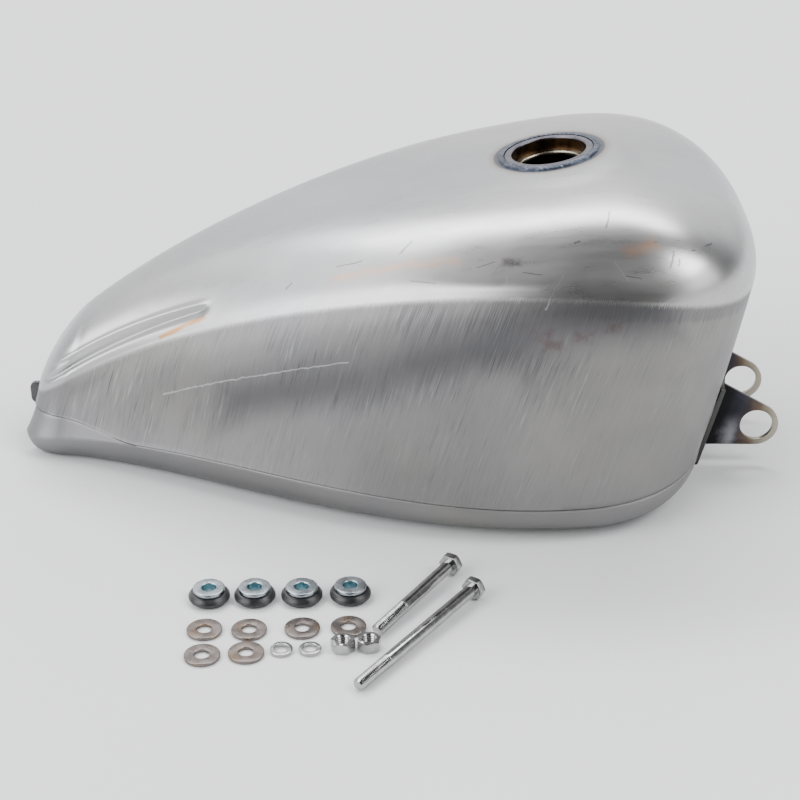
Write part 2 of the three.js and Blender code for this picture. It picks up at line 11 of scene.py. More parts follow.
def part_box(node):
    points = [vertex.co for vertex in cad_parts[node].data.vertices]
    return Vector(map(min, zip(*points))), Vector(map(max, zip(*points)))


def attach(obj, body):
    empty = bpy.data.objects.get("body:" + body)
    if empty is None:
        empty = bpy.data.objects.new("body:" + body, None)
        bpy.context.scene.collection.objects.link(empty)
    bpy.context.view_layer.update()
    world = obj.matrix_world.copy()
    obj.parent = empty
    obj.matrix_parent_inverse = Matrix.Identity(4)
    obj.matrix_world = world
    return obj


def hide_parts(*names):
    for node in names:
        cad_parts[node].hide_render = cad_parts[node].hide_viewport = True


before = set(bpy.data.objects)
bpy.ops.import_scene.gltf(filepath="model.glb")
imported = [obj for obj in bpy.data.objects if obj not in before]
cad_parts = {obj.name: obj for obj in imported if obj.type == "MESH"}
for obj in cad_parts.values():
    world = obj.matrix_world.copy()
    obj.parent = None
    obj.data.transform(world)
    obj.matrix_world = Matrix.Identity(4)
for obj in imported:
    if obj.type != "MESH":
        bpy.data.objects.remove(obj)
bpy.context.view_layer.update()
rng = random.Random(7)

# The tank's own frame is in millimetres, with its centre plane at Y 0.
# The fuel outlet's box says where that frame lies.
MM = 0.001
OUTLET_X, OUTLET_Y = -150.0, 45.0
outlet_low, outlet_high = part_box("petcock_bung")
SHIFT = np.array([(outlet_low[0] + outlet_high[0]) / 2 / MM - OUTLET_X,
                  (outlet_low[1] + outlet_high[1]) / 2 / MM - OUTLET_Y, 0.0])

# ---- Tank dimensions ----

NOSE_X, WIDEST_X, HALF_WIDTH, NOSE_SQUARENESS = 188.5, 79.0, 146.0, 2.54
SIDE_HALF_WIDTHS = (HALF_WIDTH, HALF_WIDTH, 126.0, 92.0, 45.0, 32.0)
TAIL_X, TAIL_ROUND, TAIL_SQUARENESS = -293.0, 26.0, 3.0
FILLER_X, TAIL_POLE_INSET = 39.0, 6.0
LEAN, LEAN_HEIGHT = math.radians(9), 100.0
SPINE_HEIGHTS = (205.0, 205.0, 207.0, 197.5, 184.5, 144.0)
SHOULDER_HEIGHTS = (117.0, 198.5, 172.5, 88.5)
CREASE_HEIGHTS = (0.5, 10.0, 58.5, 59.5)
CROWN_SQUARENESS = (1.9, 2.84, 1.9)
WALL_FLARE_DEGREES = (-3.6, 3.75, 2.6, 13.3)
PAN_ROLL_RADII = (30.0, 33.0, 10.2)
CREASE_RISE_START_X, CREASE_RISE, CREASE_RISE_POWER = -215.0, 0.62, 1.6
TAIL_ROUND_X = TAIL_X + TAIL_ROUND
TAIL_POLE_X = TAIL_ROUND_X + TAIL_POLE_INSET
TAIL_SLOPE = 5 * (SIDE_HALF_WIDTHS[5] - SIDE_HALF_WIDTHS[4]) / (TAIL_ROUND_X - WIDEST_X)

GAP, SHEET, EDGE_LIFT, LIP = 0.3, 1.2, 0.3, 0.3

TUNNEL_REAR_X, TUNNEL_FRONT_X = -330.0, 230.0
TUNNEL_HALF_WIDTHS, TUNNEL_HEIGHTS, TUNNEL_SQUARENESS, TUNNEL_STEPS = (18.5, 30.0), (56.0, 74.0), 6, 48

NECK_BORE_R, NECK_OUTER_R, NECK_LIP, NECK_DEPTH = 24.3, 29.5, 1.2, 20.0
LEDGE_R, LEDGE_DEPTH, LEDGE_THICKNESS = 19.5, 7.0, 3.0
NECK_FLAT_R, NECK_BLEND_R = 35.0, 62.0
NECK_BEAD_R, NECK_BEAD_SECTION_R = 31.8, 2.5
BUNG_R, BUNG_BORE_R, BUNG_HEIGHT, BUNG_PITCH = 14.0, 9.3, 12.0, 1.8

PLATE, EAR_HALF_SPACING = 3.0, 34.0
EAR_HOLE, EAR_HOLE_R, EAR_END_R = (200.3, 28.0), 11.0, 15.0
EAR_ROOT_TOP, EAR_ROOT_DEPTH = (172.0, 61.1), 34.0
FOOT_WIDTH, FOOT_LENGTH, FOOT_TIP_R = 19.0, 61.0, 6.0
FOOT_LEAN, FOOT_TURN, FOOT_TOP = math.radians(14.5), math.radians(2), (172.4, 62.5)
EAR_BEND_R, EAR_BEND_TOP, EAR_BEND_LENGTH, EAR_BEAD_R = 3.5, 7.5, 50.0, 2.2
REAR_END_X, REAR_TOP_Z, REAR_HALF_SPACING = -303.0, 33.0, 16.0
REAR_LENGTH, REAR_LEG_HEIGHT, REAR_LOWER_CORNER_R, REAR_UPPER_CORNER_R = 68.0, 17.0, 6.0, 4.0
REAR_HOLE_X, REAR_HOLE_R = -253.0, 4.5

INCH = 25.4
BOLT_R, THREAD_LENGTH, THREAD_PITCH = INCH * 5 / 32, 28.5, INCH / 18
HEX_FLATS, HEAD_HEIGHT, NUT_HEIGHT, NUT_BORE_R = INCH / 2, 5.3, 6.7, 3.45
WASHER_R, WASHER_BORE_R, WASHER_THICKNESS = 10.5, 4.4, 1.7
LOCK_WASHER_R, LOCK_WASHER_BORE_R, LOCK_WASHER_SPLIT = 6.6, 4.1, 0.9
RUBBER_R, RUBBER_SPIGOT_R, RUBBER_SPIGOT_HEIGHT, RUBBER_TOP_R, RUBBER_HEIGHT = 12.5, 10.7, 1.4, 10.6, 6.4
BUSH_FLANGE_R, BUSH_FLANGE_THICKNESS, BUSH_TUBE_R, BUSH_BORE_R = 9.65, 2.3, 5.2, 4.25
# How the loose pieces lie: the lock washers' splits in radians, the nuts' turns in degrees, and
# each bolt's length in inches, its head's place on the floor and its heading in degrees
LOCK_WASHER_TURNS, NUT_TURNS = (2.5, 0.15), (22.4, -9.6)
BOLTS = (("short_bolt", 3.125, (-7.8, -177.6), 237.3), ("long_bolt", 4.5, (5.6, -204.5), 235.0))

# The camera, in the tank's frame, and the floor in metres
CAMERA_PLACE, CAMERA_TILT, CAMERA_TURN = (-32.3, -1134.35, 609.73), math.radians(62.833), math.radians(0.49)
CAMERA_SENSOR, CAMERA_LENS = 36.0, 82.21
FLOOR_REACH, FLOOR_STEPS, FLOOR_Z = 6.0, 24, -0.0004


def along(values, t):
    """A Bezier curve's value by repeated blending of its control values."""
    row = [value + 0 * t for value in values]
    while len(row) > 1:
        row = [a + (b - a) * t for a, b in zip(row, row[1:])]
    return row[0]


def outline(part, t):
    """Edge points of half the tank in one of its three stretches: nose, side or tail."""
    angle = t * math.pi / 2
    if part == "nose":
        x = WIDEST_X + (NOSE_X - WIDEST_X) * np.cos(angle) ** (2 / NOSE_SQUARENESS)
        return x, HALF_WIDTH * np.sin(angle) ** (2 / NOSE_SQUARENESS)
    if part == "side":
        return WIDEST_X + (TAIL_ROUND_X - WIDEST_X) * t, along(SIDE_HALF_WIDTHS, t)
    width = SIDE_HALF_WIDTHS[5] - TAIL_SLOPE * TAIL_ROUND * np.sin(angle) / 2
    x = TAIL_ROUND_X - TAIL_ROUND * np.sin(angle) ** (2 / TAIL_SQUARENESS)
    return x, width * np.cos(angle) ** (2 / TAIL_SQUARENESS)


def ribs(x, y):
    """What each rib through an edge point needs: where it starts, its heading and its heights."""
    spine_x = np.clip(x, TAIL_POLE_X, FILLER_X)
    length = np.hypot(x - spine_x, y)
    behind_filler = (FILLER_X - spine_x) / (FILLER_X - TAIL_POLE_X)
    behind_nose = (NOSE_X - x) / (NOSE_X - TAIL_X)
    drops = [b - a for a, b in zip(SPINE_HEIGHTS, SPINE_HEIGHTS[1:])]
    return dict(
        spine_x=spine_x, length=length, heading=((x - spine_x) / length, y / length),
        spine_z=along(SPINE_HEIGHTS, behind_filler),
        spine_slope=5 * along(drops, behind_filler) / (TAIL_POLE_X - FILLER_X),
        shoulder_z=along(SHOULDER_HEIGHTS, behind_nose), crease_z=along(CREASE_HEIGHTS, behind_nose),
        flare=np.tan(np.radians(along(WALL_FLARE_DEGREES, behind_nose))),
        crown=along(CROWN_SQUARENESS, behind_nose), roll=along(PAN_ROLL_RADII, behind_nose),
        crease_level=2 - CREASE_RISE * (np.maximum(0, CREASE_RISE_START_X - x)
                                        / (CREASE_RISE_START_X - TAIL_X)) ** CREASE_RISE_POWER,
    )


def leaned(x, y, z):
    rise = z - LEAN_HEIGHT
    return np.stack([x * math.cos(LEAN) + rise * math.sin(LEAN), y + 0 * x,
                     rise * math.cos(LEAN) + x * math.sin(LEAN) + LEAN_HEIGHT], -1)


def shell_point(rib, level, inset=0.0):
    """level 0 to 1 runs over the crown to the shoulder, and 1 to 2 down the wall to its foot."""
    length = rib["length"] - inset
    angle = np.minimum(level, 1.0) * math.pi / 2
    down = np.maximum(level - 1.0, 0.0)
    power = 2 / rib["crown"]
    side = np.sin(angle) ** power
    up = np.where(level >= 1.0, 0.0, np.abs(np.cos(angle)) ** power)
    wall = rib["shoulder_z"] - rib["crease_z"]
    ridge = rib["spine_z"] - inset + rib["spine_slope"] * rib["heading"][0] * length * side
    z = rib["shoulder_z"] + (ridge - rib["shoulder_z"]) * up - wall * down
    reach = length * side + rib["flare"] * wall * down * (0.35 + 0.65 * down)
    return leaned(rib["spine_x"] + rib["heading"][0] * reach, rib["heading"][1] * reach, z)


def pan_point(rib, level, inset=0.0):
    """level 0 to 1 rolls under from the wall's foot, and 1 to 2 runs flat towards the centre line."""
    crease = shell_point(rib, 2.0 + 0 * level, inset)
    angle = np.minimum(level, 1.0) * math.pi / 2
    inward = rib["roll"] * (1 - np.cos(angle))
    x = crease[..., 0] - rib["heading"][0] * inward
    y = crease[..., 1] - rib["heading"][1] * inward
    z = crease[..., 2] + (inset - crease[..., 2]) * np.sin(angle)
    flat = np.maximum(level - 1.0, 0.0)
    middle = rib["spine_x"] * math.cos(LEAN) - 12.0
    return np.stack([x + (middle - x) * flat, y * (1 - flat), z], -1)


# The filler's own axes: out towards the nose, to the left and up
FILLER = leaned(np.array(FILLER_X), np.array(0.0), np.array(SPINE_HEIGHTS[0]))
FILLER_OUT = np.array([math.cos(LEAN), 0.0, math.sin(LEAN)])
FILLER_SIDE = np.array([0.0, 1.0, 0.0])
FILLER_UP = np.array([-math.sin(LEAN), 0.0, math.cos(LEAN)])


# ---- Mesh helpers, in the tank's own frame ----

# Corners closer than this, in metres, are merged in a new mesh and in a cut one.
NEW_WELD, CUT_WELD = 1e-6, 2e-7
# Edges steeper than this, in degrees, stay sharp or are bevelled.
SHARP, BEVEL_ANGLE, BEVEL_SEGMENTS = 35, 50, 2


def to_row(points):
    return (np.asarray(points, float) + SHIFT) * MM


def grid_faces(rows, columns, wrap_rows=False, wrap_columns=False):
    faces = []
    for r in range(rows if wrap_rows else rows - 1):
        for c in range(columns if wrap_columns else columns - 1):
            r2, c2 = (r + 1) % rows, (c + 1) % columns
            faces.append((r * columns + c, r * columns + c2, r2 * columns + c2, r2 * columns + c))
    return faces


def new_object(name, points, faces, uvs=None, sharp=SHARP):
    """One closed piece: shared corners merged, collapsed faces dropped and all faces turned outwards."""
    mesh = bpy.data.meshes.new(name)
    mesh.from_pydata([tuple(p) for p in to_row(points)], [], faces)
    if uvs is not None:
        layer = mesh.uv_layers.new(name="draw")
        index = np.empty(len(mesh.loops), np.int64)
        mesh.loops.foreach_get("vertex_index", index)
        layer.data.foreach_set("uv", np.asarray(uvs, np.float32)[index].ravel())
    built = bmesh.new()
    built.from_mesh(mesh)
    bmesh.ops.remove_doubles(built, verts=built.verts, dist=NEW_WELD)
    bmesh.ops.dissolve_degenerate(built, dist=NEW_WELD, edges=built.edges)
    bmesh.ops.recalc_face_normals(built, faces=built.faces)
    if built.calc_volume(signed=True) < 0:
        bmesh.ops.reverse_faces(built, faces=built.faces)
    built.to_mesh(mesh)
    built.free()
    obj = bpy.data.objects.new(name, mesh)
    bpy.context.scene.collection.objects.link(obj)
    smooth(obj, sharp)
    return obj


def smooth(obj, sharp):
    obj.data.shade_smooth()
    obj.data.set_sharp_from_angle(angle=math.radians(sharp))


def apply_modifiers(obj):
    graph = bpy.context.evaluated_depsgraph_get()
    mesh = bpy.data.meshes.new_from_object(obj.evaluated_get(graph))
    obj.modifiers.clear()
    obj.data = mesh


def combine(obj, tools, operation, sharp=SHARP):
    """Cuts or trims obj with the tools, which are then removed."""
    for tool in tools:
        step = obj.modifiers.new("combine", "BOOLEAN")
        step.object = tool
        step.operation = operation
        step.solver = "EXACT"
    apply_modifiers(obj)
    built = bmesh.new()
    built.from_mesh(obj.data)
    bmesh.ops.remove_doubles(built, verts=built.verts, dist=CUT_WELD)
    bmesh.ops.dissolve_degenerate(built, dist=CUT_WELD, edges=built.edges)
    built.to_mesh(obj.data)
    built.free()
    for tool in tools:
        bpy.data.objects.remove(tool)
    smooth(obj, sharp)
    return obj


def bevelled(obj, width):
    step = obj.modifiers.new("edge", "BEVEL")
    step.width = width * MM
    step.segments = BEVEL_SEGMENTS
    step.limit_method = "ANGLE"
    step.angle_limit = math.radians(BEVEL_ANGLE)
    apply_modifiers(obj)
    smooth(obj, SHARP)
    return obj


def turned(name, profile, steps, place):
    """A closed profile of (radius, height) turned about its own axis and set in place."""
    profile = np.asarray(profile, float)
    turn = np.linspace(0, 2 * math.pi, steps, endpoint=False)
    points = np.stack([np.outer(profile[:, 0], np.cos(turn)), np.outer(profile[:, 0], np.sin(turn)),
                       np.repeat(profile[:, 1:2], steps, 1)], -1).reshape(-1, 3)
    return new_object(name, place(points), grid_faces(len(profile), steps, True, True))


def rounded(profile, radius, steps):
    """A closed profile with each corner rounded by the radius given for it."""
    result = []
    count = len(profile)
    radii = radius if isinstance(radius, (list, tuple)) else [radius] * count
    for i in range(count):
        before, here, after = (np.array(profile[(i + k) % count], float) for k in (-1, 0, 1))
        size = min(radii[i], 0.45 * np.linalg.norm(before - here), 0.45 * np.linalg.norm(after - here))
        if size <= 0:
            result.append(here)
            continue
        start = here + (before - here) / np.linalg.norm(before - here) * size
        end = here + (after - here) / np.linalg.norm(after - here) * size
        for k in range(steps + 1):
            t = k / steps
            result.append((1 - t) ** 2 * start + 2 * t * (1 - t) * here + t * t * end)
    return np.array(result)


def plate(name, outer, holes, low, high, frame_of, edge=0.35):
    """A flat outline with holes as a solid plate from low to high, set in place by frame_of(u, v, w)."""
    curve = bpy.data.curves.new(name, "CURVE")
    curve.dimensions = "2D"
    curve.fill_mode = "BOTH"
    curve.extrude = (high - low) / 2
    for loop in [outer] + holes:
        spline = curve.splines.new("POLY")
        spline.points.add(len(loop) - 1)
        for point, (u, v) in zip(spline.points, loop):
            point.co = (u, v, 0, 1)
        spline.use_cyclic_u = True
    holder = bpy.data.objects.new(name, curve)
    bpy.context.scene.collection.objects.link(holder)
    graph = bpy.context.evaluated_depsgraph_get()
    mesh = bpy.data.meshes.new_from_object(holder.evaluated_get(graph))
    bpy.data.objects.remove(holder)
    middle = (low + high) / 2
    flat = np.empty(len(mesh.vertices) * 3)
    mesh.vertices.foreach_get("co", flat)
    flat = flat.reshape(-1, 3)
    points = frame_of(flat[:, 0], flat[:, 1], flat[:, 2] + middle)
    faces = [tuple(face.vertices) for face in mesh.polygons]
    bpy.data.meshes.remove(mesh)
    obj = new_object(name, points, faces)
    return bevelled(obj, edge) if edge else obj


def circle(x, y, radius, start=0.0, end=360.0, steps=48):
    turn = np.radians(np.linspace(start, end, steps, endpoint=abs(end - start) < 360))
    return [(x + radius * math.cos(a), y + radius * math.sin(a)) for a in turn]


# ---- Tank skin ----

NOSE_STEPS, SIDE_STEPS, TAIL_STEPS = 66, 168, 40
CROWN_LEVELS = 1 - (1 - np.linspace(0, 1, 64)) ** 1.25
WALL_LEVELS = np.linspace(1, 2, 34)[1:]
SKIN_LEVELS = np.concatenate([CROWN_LEVELS, WALL_LEVELS])
INSIDE_STEP = 3
CROWN_WIDTH = 0.14


def half_edge():
    """Edge points of one half, nose to tail, and how far round each is: to 1 nose, to 2 side, to 3 tail."""
    parts = [("nose", np.linspace(0, 1, NOSE_STEPS + 1)), ("side", np.linspace(0, 1, SIDE_STEPS + 1)[1:]),
             ("tail", np.linspace(0, 1, TAIL_STEPS + 1)[1:])]
    xs, ys, ts = [], [], []
    for number, (part, t) in enumerate(parts):
        x, y = outline(part, t)
        xs.append(x)
        ys.append(np.abs(y))
        ts.append(number + t)
    return np.concatenate(xs), np.concatenate(ys), np.concatenate(ts)


edge_x, edge_y, edge_t = half_edge()
edge_y[0] = edge_y[-1] = 0.0
loop_x = np.concatenate([edge_x, edge_x[-2:0:-1]])
loop_y = np.concatenate([-edge_y, edge_y[-2:0:-1]])
loop_t = np.concatenate([edge_t, edge_t[-2:0:-1]])
COLUMNS = len(loop_x)
arc = np.concatenate([[0], np.cumsum(np.hypot(np.diff(edge_x), np.diff(edge_y)))])
loop_arc = np.concatenate([-arc, arc[-2:0:-1]]) * MM


def spread(rib):
    """The same ribs, ready to combine with a row of levels."""
    return {key: tuple(v[:, None] for v in value) if isinstance(value, tuple) else value[:, None]
            for key, value in rib.items()}


loop_ribs = spread(ribs(loop_x, loop_y))
loop_heading = np.stack([*loop_ribs["heading"], 0 * loop_ribs["heading"][0]], -1)


def bump(value, centre, width):
    return np.exp(-((value - centre) / width) ** 2)


def step_up(value, start, end):
    t = np.clip((value - start) / (end - start), 0, 1)
    return t * t * (3 - 2 * t)


# The section swells below the die line and is drawn in above it.
SWELL, SWELL_REACH = 5.4, 24.0
GUTTER_MOUTH_T = 1.75


def skin_relief(t, level, below_line):
    """How far the skin stands out: the rounded shoulder, the gutter by the tail, dents and folds."""
    past_mouth = np.maximum(t - GUTTER_MOUTH_T, 0)
    ridge, groove = np.maximum(0.74 - 0.14 * past_mouth, 0.67), np.minimum(0.81 + 0.15 * past_mouth, 0.85)
    gutter = step_up(t, GUTTER_MOUTH_T - 0.01, GUTTER_MOUTH_T + 0.01) * (1 - step_up(t, 2.05, 2.6))
    share = below_line / SWELL_REACH
    rounded_part = step_up(t, 0.60, 1.05) * (1 - 0.25 * step_up(t, 1.2, 1.4)) * (1 - step_up(t, 1.70, 2.05))
    relief = rounded_part * step_up(level, 0.12, 0.42) * SWELL * share * np.exp(0.5 * (1 - share ** 2))
    relief += gutter * (0.8 * bump(level, ridge, 0.028) - 2.2 * bump(level, groove, 0.038))
    relief += 0.9 * bump(t, 2.03, 0.035) * bump(level, 0.955, 0.05)
    relief += 0.15 * step_up(level, 0.97, 0.99) * (1 - step_up(level, 1.2, 1.9)) * step_up(t, 0.25, 0.6)
    relief -= 0.8 * bump(t, 0.86, 0.07) * bump(level, 1.70, 0.09)
    relief += 0.7 * bump(t, 0.80, 0.12) * bump(level, 1.50, 0.11)
    relief -= 0.5 * bump(t, 0.70, 0.26) * bump(level, 1.40, 0.035)
    relief -= 0.35 * bump(t, 1.48, 0.22) * bump(level, 1.30 + 0.45 * (t - 1.48), 0.05)
    relief += 0.6 * bump(t, 1.99, 0.06) * bump(level, 1.12, 0.14)
    return relief


def flattened(points, depth=0.0):
    """The skin is pressed level with the filler's ring close to it."""
    offset = points - FILLER
    above = offset @ FILLER_UP + depth
    radius = np.linalg.norm(offset - (offset @ FILLER_UP)[..., None] * FILLER_UP, axis=-1)
    pull = (1 - step_up(radius, NECK_FLAT_R, NECK_BLEND_R)) * (above > -NECK_BLEND_R)
    return points - (above * pull)[..., None] * FILLER_UP


def shell_levels(levels):
    """Levels 1 to 2 are spread from the shoulder to the crease."""
    wall = 1 + (levels - 1) * (loop_ribs["crease_level"] - 1)
    return np.where(levels > 1, wall, levels + 0 * loop_x[:, None])


def skin_grid(inset):
    level = shell_levels(SKIN_LEVELS[None, :])
    points = shell_point(loop_ribs, level, inset)
    normals = np.cross(np.roll(points, -1, 0) - np.roll(points, 1, 0), np.gradient(points, axis=1))
    size = np.linalg.norm(normals, axis=-1, keepdims=True)
    normals = np.where(size > 1e-9, normals / np.maximum(size, 1e-9), 0)
    outward = points - np.array([0.0, 0.0, 90.0])
    outward[..., 0] = 0
    normals *= np.sign(np.sum(normals[COLUMNS // 4, 40] * outward[COLUMNS // 4, 40]))
    steps = np.linalg.norm(np.diff(points, axis=1), axis=-1)
    travelled = np.concatenate([np.zeros((COLUMNS, 1)), np.cumsum(steps, axis=1)], axis=1)
    below_line = travelled - travelled[:, len(CROWN_LEVELS) - 1:len(CROWN_LEVELS)]
    return flattened(points + normals * skin_relief(loop_t[:, None], level, below_line)[..., None], inset)


def shell_uvs():
    """Across: distance round the tank. Up: how far above the die line, in metres of skin."""
    level = shell_levels(SKIN_LEVELS[None, :])
    wall = (loop_ribs["shoulder_z"] - loop_ribs["crease_z"]) * MM
    height = (1 - level) * np.where(level <= 1, CROWN_WIDTH, wall)
    return np.stack([loop_arc[:, None] + 0 * height, height], -1)


def stacked(parts):
    """Point grids, ribs first, laid row after row."""
    grid = np.concatenate(parts, axis=1)
    return np.swapaxes(grid, 0, 1).reshape(-1, grid.shape[-1]), grid.shape[1]


def upper_shell():
    outer = skin_grid(0.0)
    outer[:, -1, 2] += EDGE_LIFT
    lip = outer[:, -1:].copy()
    outer[:, -1, 2] += 0.25
    lip -= loop_heading * LIP
    inner = skin_grid(SHEET)[:, ::-INSIDE_STEP]
    inner[:, 0, 2] += EDGE_LIFT
    uvs = shell_uvs()
    uvs = np.concatenate([uvs, uvs[:, -1:], uvs[:, ::-INSIDE_STEP]], axis=1)
    points, rows = stacked([outer, lip, inner])
    faces = grid_faces(rows, COLUMNS, False, True)
    shell = new_object("upper_shell_look", points, faces, stacked([uvs])[0], sharp=50)
    hole_r = NECK_OUTER_R + GAP
    hole = turned("hole", [(0, -40), (hole_r, -40), (hole_r, 20), (0, 20)], 128, in_filler)
    return combine(shell, [tunnel_block(GAP, "cut"), hole], "DIFFERENCE", sharp=50)


def pan(side, name):
    """Out from the centre line over the underside and up to the crease, then back along the inside."""
    outside = np.concatenate([np.linspace(2, 1, 5)[:-1], np.linspace(1, 0, 22)])
    wall_share = np.linspace(0, 1, 9)[1:]
    inside = np.concatenate([np.linspace(0, 1, 10), [2.0]])
    crease = loop_ribs["crease_level"]
    outer = pan_point(loop_ribs, outside[None, :] + 0 * loop_x[:, None])
    outer = np.concatenate([outer, shell_point(loop_ribs, 2 - (2 - crease) * wall_share[None, :])], axis=1)
    inner = pan_point(loop_ribs, inside[None, :] + 0 * loop_x[:, None], SHEET)
    inner = np.concatenate([shell_point(loop_ribs, crease + 0 * crease, SHEET), inner], axis=1)
    lip = outer[:, -1:] - loop_heading * LIP
    outer[:, -1, 2] -= EDGE_LIFT
    outer[..., 2] = np.minimum(outer[..., 2], outer[:, -1:, 2])
    inner[:, 0, 2] = lip[:, 0, 2]
    inner[..., 2] = np.minimum(inner[..., 2], inner[:, :1, 2])
    drop = -0.11 - 0.03 * np.concatenate([outside, 0 * wall_share, [0.0, 0.0], inside])
    uvs = np.stack([loop_arc[:, None] + 0 * drop, drop[None, :] + 0 * loop_arc[:, None]], -1)
    points, rows = stacked([outer, lip, inner])
    whole = new_object(name, points, grid_faces(rows, COLUMNS, False, True), stacked([uvs])[0], sharp=50)
    half = box_block("half", (-420, min(0, 200 * side), -30), (320, max(0, 200 * side), 90))
    combine(whole, [half], "INTERSECT")
    outlet = turned("outlet", [(0, -10), (BUNG_R + GAP, -10), (BUNG_R + GAP, 30), (0, 30)], 48,
                    lambda p: p + np.array([OUTLET_X, OUTLET_Y, 0]))
    return combine(whole, [tunnel_block(GAP, "cut"), outlet], "DIFFERENCE", sharp=50)


def box_block(name, low, high):
    corners = [(x, y, z) for x in (low[0], high[0]) for y in (low[1], high[1]) for z in (low[2], high[2])]
    faces = [(0, 1, 3, 2), (4, 6, 7, 5), (0, 4, 5, 1), (2, 3, 7, 6), (0, 2, 6, 4), (1, 5, 7, 3)]
    return new_object(name, corners, faces)


def tunnel_section(growth, x):
    t = (x - TUNNEL_REAR_X) / (TUNNEL_FRONT_X - TUNNEL_REAR_X)
    half = TUNNEL_HALF_WIDTHS[0] + (TUNNEL_HALF_WIDTHS[1] - TUNNEL_HALF_WIDTHS[0]) * t + growth
    top = TUNNEL_HEIGHTS[0] + (TUNNEL_HEIGHTS[1] - TUNNEL_HEIGHTS[0]) * t + growth
    angle = np.linspace(0, math.pi, TUNNEL_STEPS + 1)
    power = 2 / TUNNEL_SQUARENESS
    across = np.sign(np.cos(angle)) * np.abs(np.cos(angle)) ** power * half
    up = np.maximum(np.sin(angle), 0) ** power * top
    return [(x, half, -10.0)] + [(x, a, u) for a, u in zip(across, up)] + [(x, -half, -10.0)]


def tunnel_block(growth, name):
    ends = [tunnel_section(growth, x) for x in (TUNNEL_REAR_X, TUNNEL_FRONT_X)]
    count = len(ends[0])
    faces = [(i, (i + 1) % count, count + (i + 1) % count, count + i) for i in range(count)]
    faces += [tuple(range(count))[::-1], tuple(range(count, 2 * count))]
    return new_object(name, ends[0] + ends[1], faces)


def whole_skin(name, clearance=0.0):
    """The whole outer skin as one block, to trim what meets it."""
    outside = np.concatenate([np.linspace(0, 1, 30), np.linspace(1, 2, 14)[1:]])
    under = np.concatenate([np.linspace(0, 1, 12)[1:], [2.0]])
    top = shell_point(loop_ribs, outside[None, :] + 0 * loop_x[:, None], -clearance)
    bottom = pan_point(loop_ribs, under[None, :] + 0 * loop_x[:, None], -clearance)
    points, rows = stacked([flattened(top), bottom])
    return new_object(name, points, grid_faces(rows, COLUMNS, False, True))


def tunnel():
    arch = combine(tunnel_block(0, "tunnel_look"), [tunnel_block(-SHEET, "bore")], "DIFFERENCE")
    return combine(arch, [whole_skin("skin")], "INTERSECT", sharp=30)


# ---- Filler neck and fuel outlet ----


def in_filler(points):
    points = np.asarray(points, float)
    return FILLER + points[:, :1] * FILLER_OUT + points[:, 1:2] * FILLER_SIDE + points[:, 2:] * FILLER_UP


def tree_of(obj):
    return BVHTree.FromObject(obj, bpy.context.evaluated_depsgraph_get())


def hit(tree, origin, heading):
    """Where a ray in the tank's frame meets the skin, with the skin's normal there."""
    found = tree.ray_cast(Vector(to_row(origin)), Vector(heading).normalized())
    return np.array(found[0]) / MM - SHIFT, np.array(found[1])


def filler_neck():
    profile = rounded([
        (NECK_BORE_R, NECK_LIP), (NECK_BORE_R, -LEDGE_DEPTH), (LEDGE_R, -LEDGE_DEPTH),
        (LEDGE_R, -LEDGE_DEPTH - LEDGE_THICKNESS), (NECK_BORE_R, -LEDGE_DEPTH - LEDGE_THICKNESS),
        (NECK_BORE_R, -NECK_DEPTH), (NECK_OUTER_R, -NECK_DEPTH), (NECK_OUTER_R, NECK_LIP),
    ], [1.3, 0.5, 1.2, 1.2, 0.5, 0.8, 0.8, 1.5], 6)
    return turned("filler_neck_look", profile, 160, in_filler)


def filler_weld(skin):
    """A bead of overlapping ripples laid round the neck on the skin."""
    around, across = 420, 15
    points = np.empty((around, across + 3, 3))
    for i in range(around):
        turn = 2 * math.pi * i / around
        outward = math.cos(turn) * FILLER_OUT + math.sin(turn) * FILLER_SIDE
        ripple = 0.5 + 0.5 * math.cos(turn * 58 + 0.8 * math.sin(turn * 5))
        wander = 0.28 * math.sin(turn * 7 + 1) + 0.2 * math.sin(turn * 17 + 2) + rng.uniform(-0.08, 0.08)
        inner, outer = NECK_OUTER_R + 0.05, NECK_BEAD_R + NECK_BEAD_SECTION_R - 0.4 + wander
        top = NECK_BEAD_SECTION_R * (0.50 + 0.10 * ripple)
        for k in range(across + 1):
            share = k / across
            reach = inner + (outer - inner) * share
            base, _ = hit(skin, FILLER + outward * reach + FILLER_UP * 40, -FILLER_UP)
            dome = math.sqrt(max(0.0, 1 - max(0.0, 2 * share - 1) ** 2.2))
            rise = top * dome * (0.86 + 0.14 * math.cos(share * 9))
            points[i, k] = base + FILLER_UP * (rise * (1 - share ** 6) - 0.05)
        points[i, across + 1] = points[i, across] - FILLER_UP * 0.5
        points[i, across + 2] = points[i, 0] - FILLER_UP * (top + 0.6)
    rows = np.swapaxes(points, 0, 1).reshape(-1, 3)
    return new_object("filler_weld_look", rows, grid_faces(across + 3, around, True, True), sharp=60)


def thread_height(z, angle, pitch):
    """0 in a thread's root to 1 on its crest, with flats on both."""
    phase = (z / pitch - angle / (2 * math.pi)) % 1.0
    return np.clip(1.25 - 2.5 * np.abs(phase - 0.5), 0, 1)


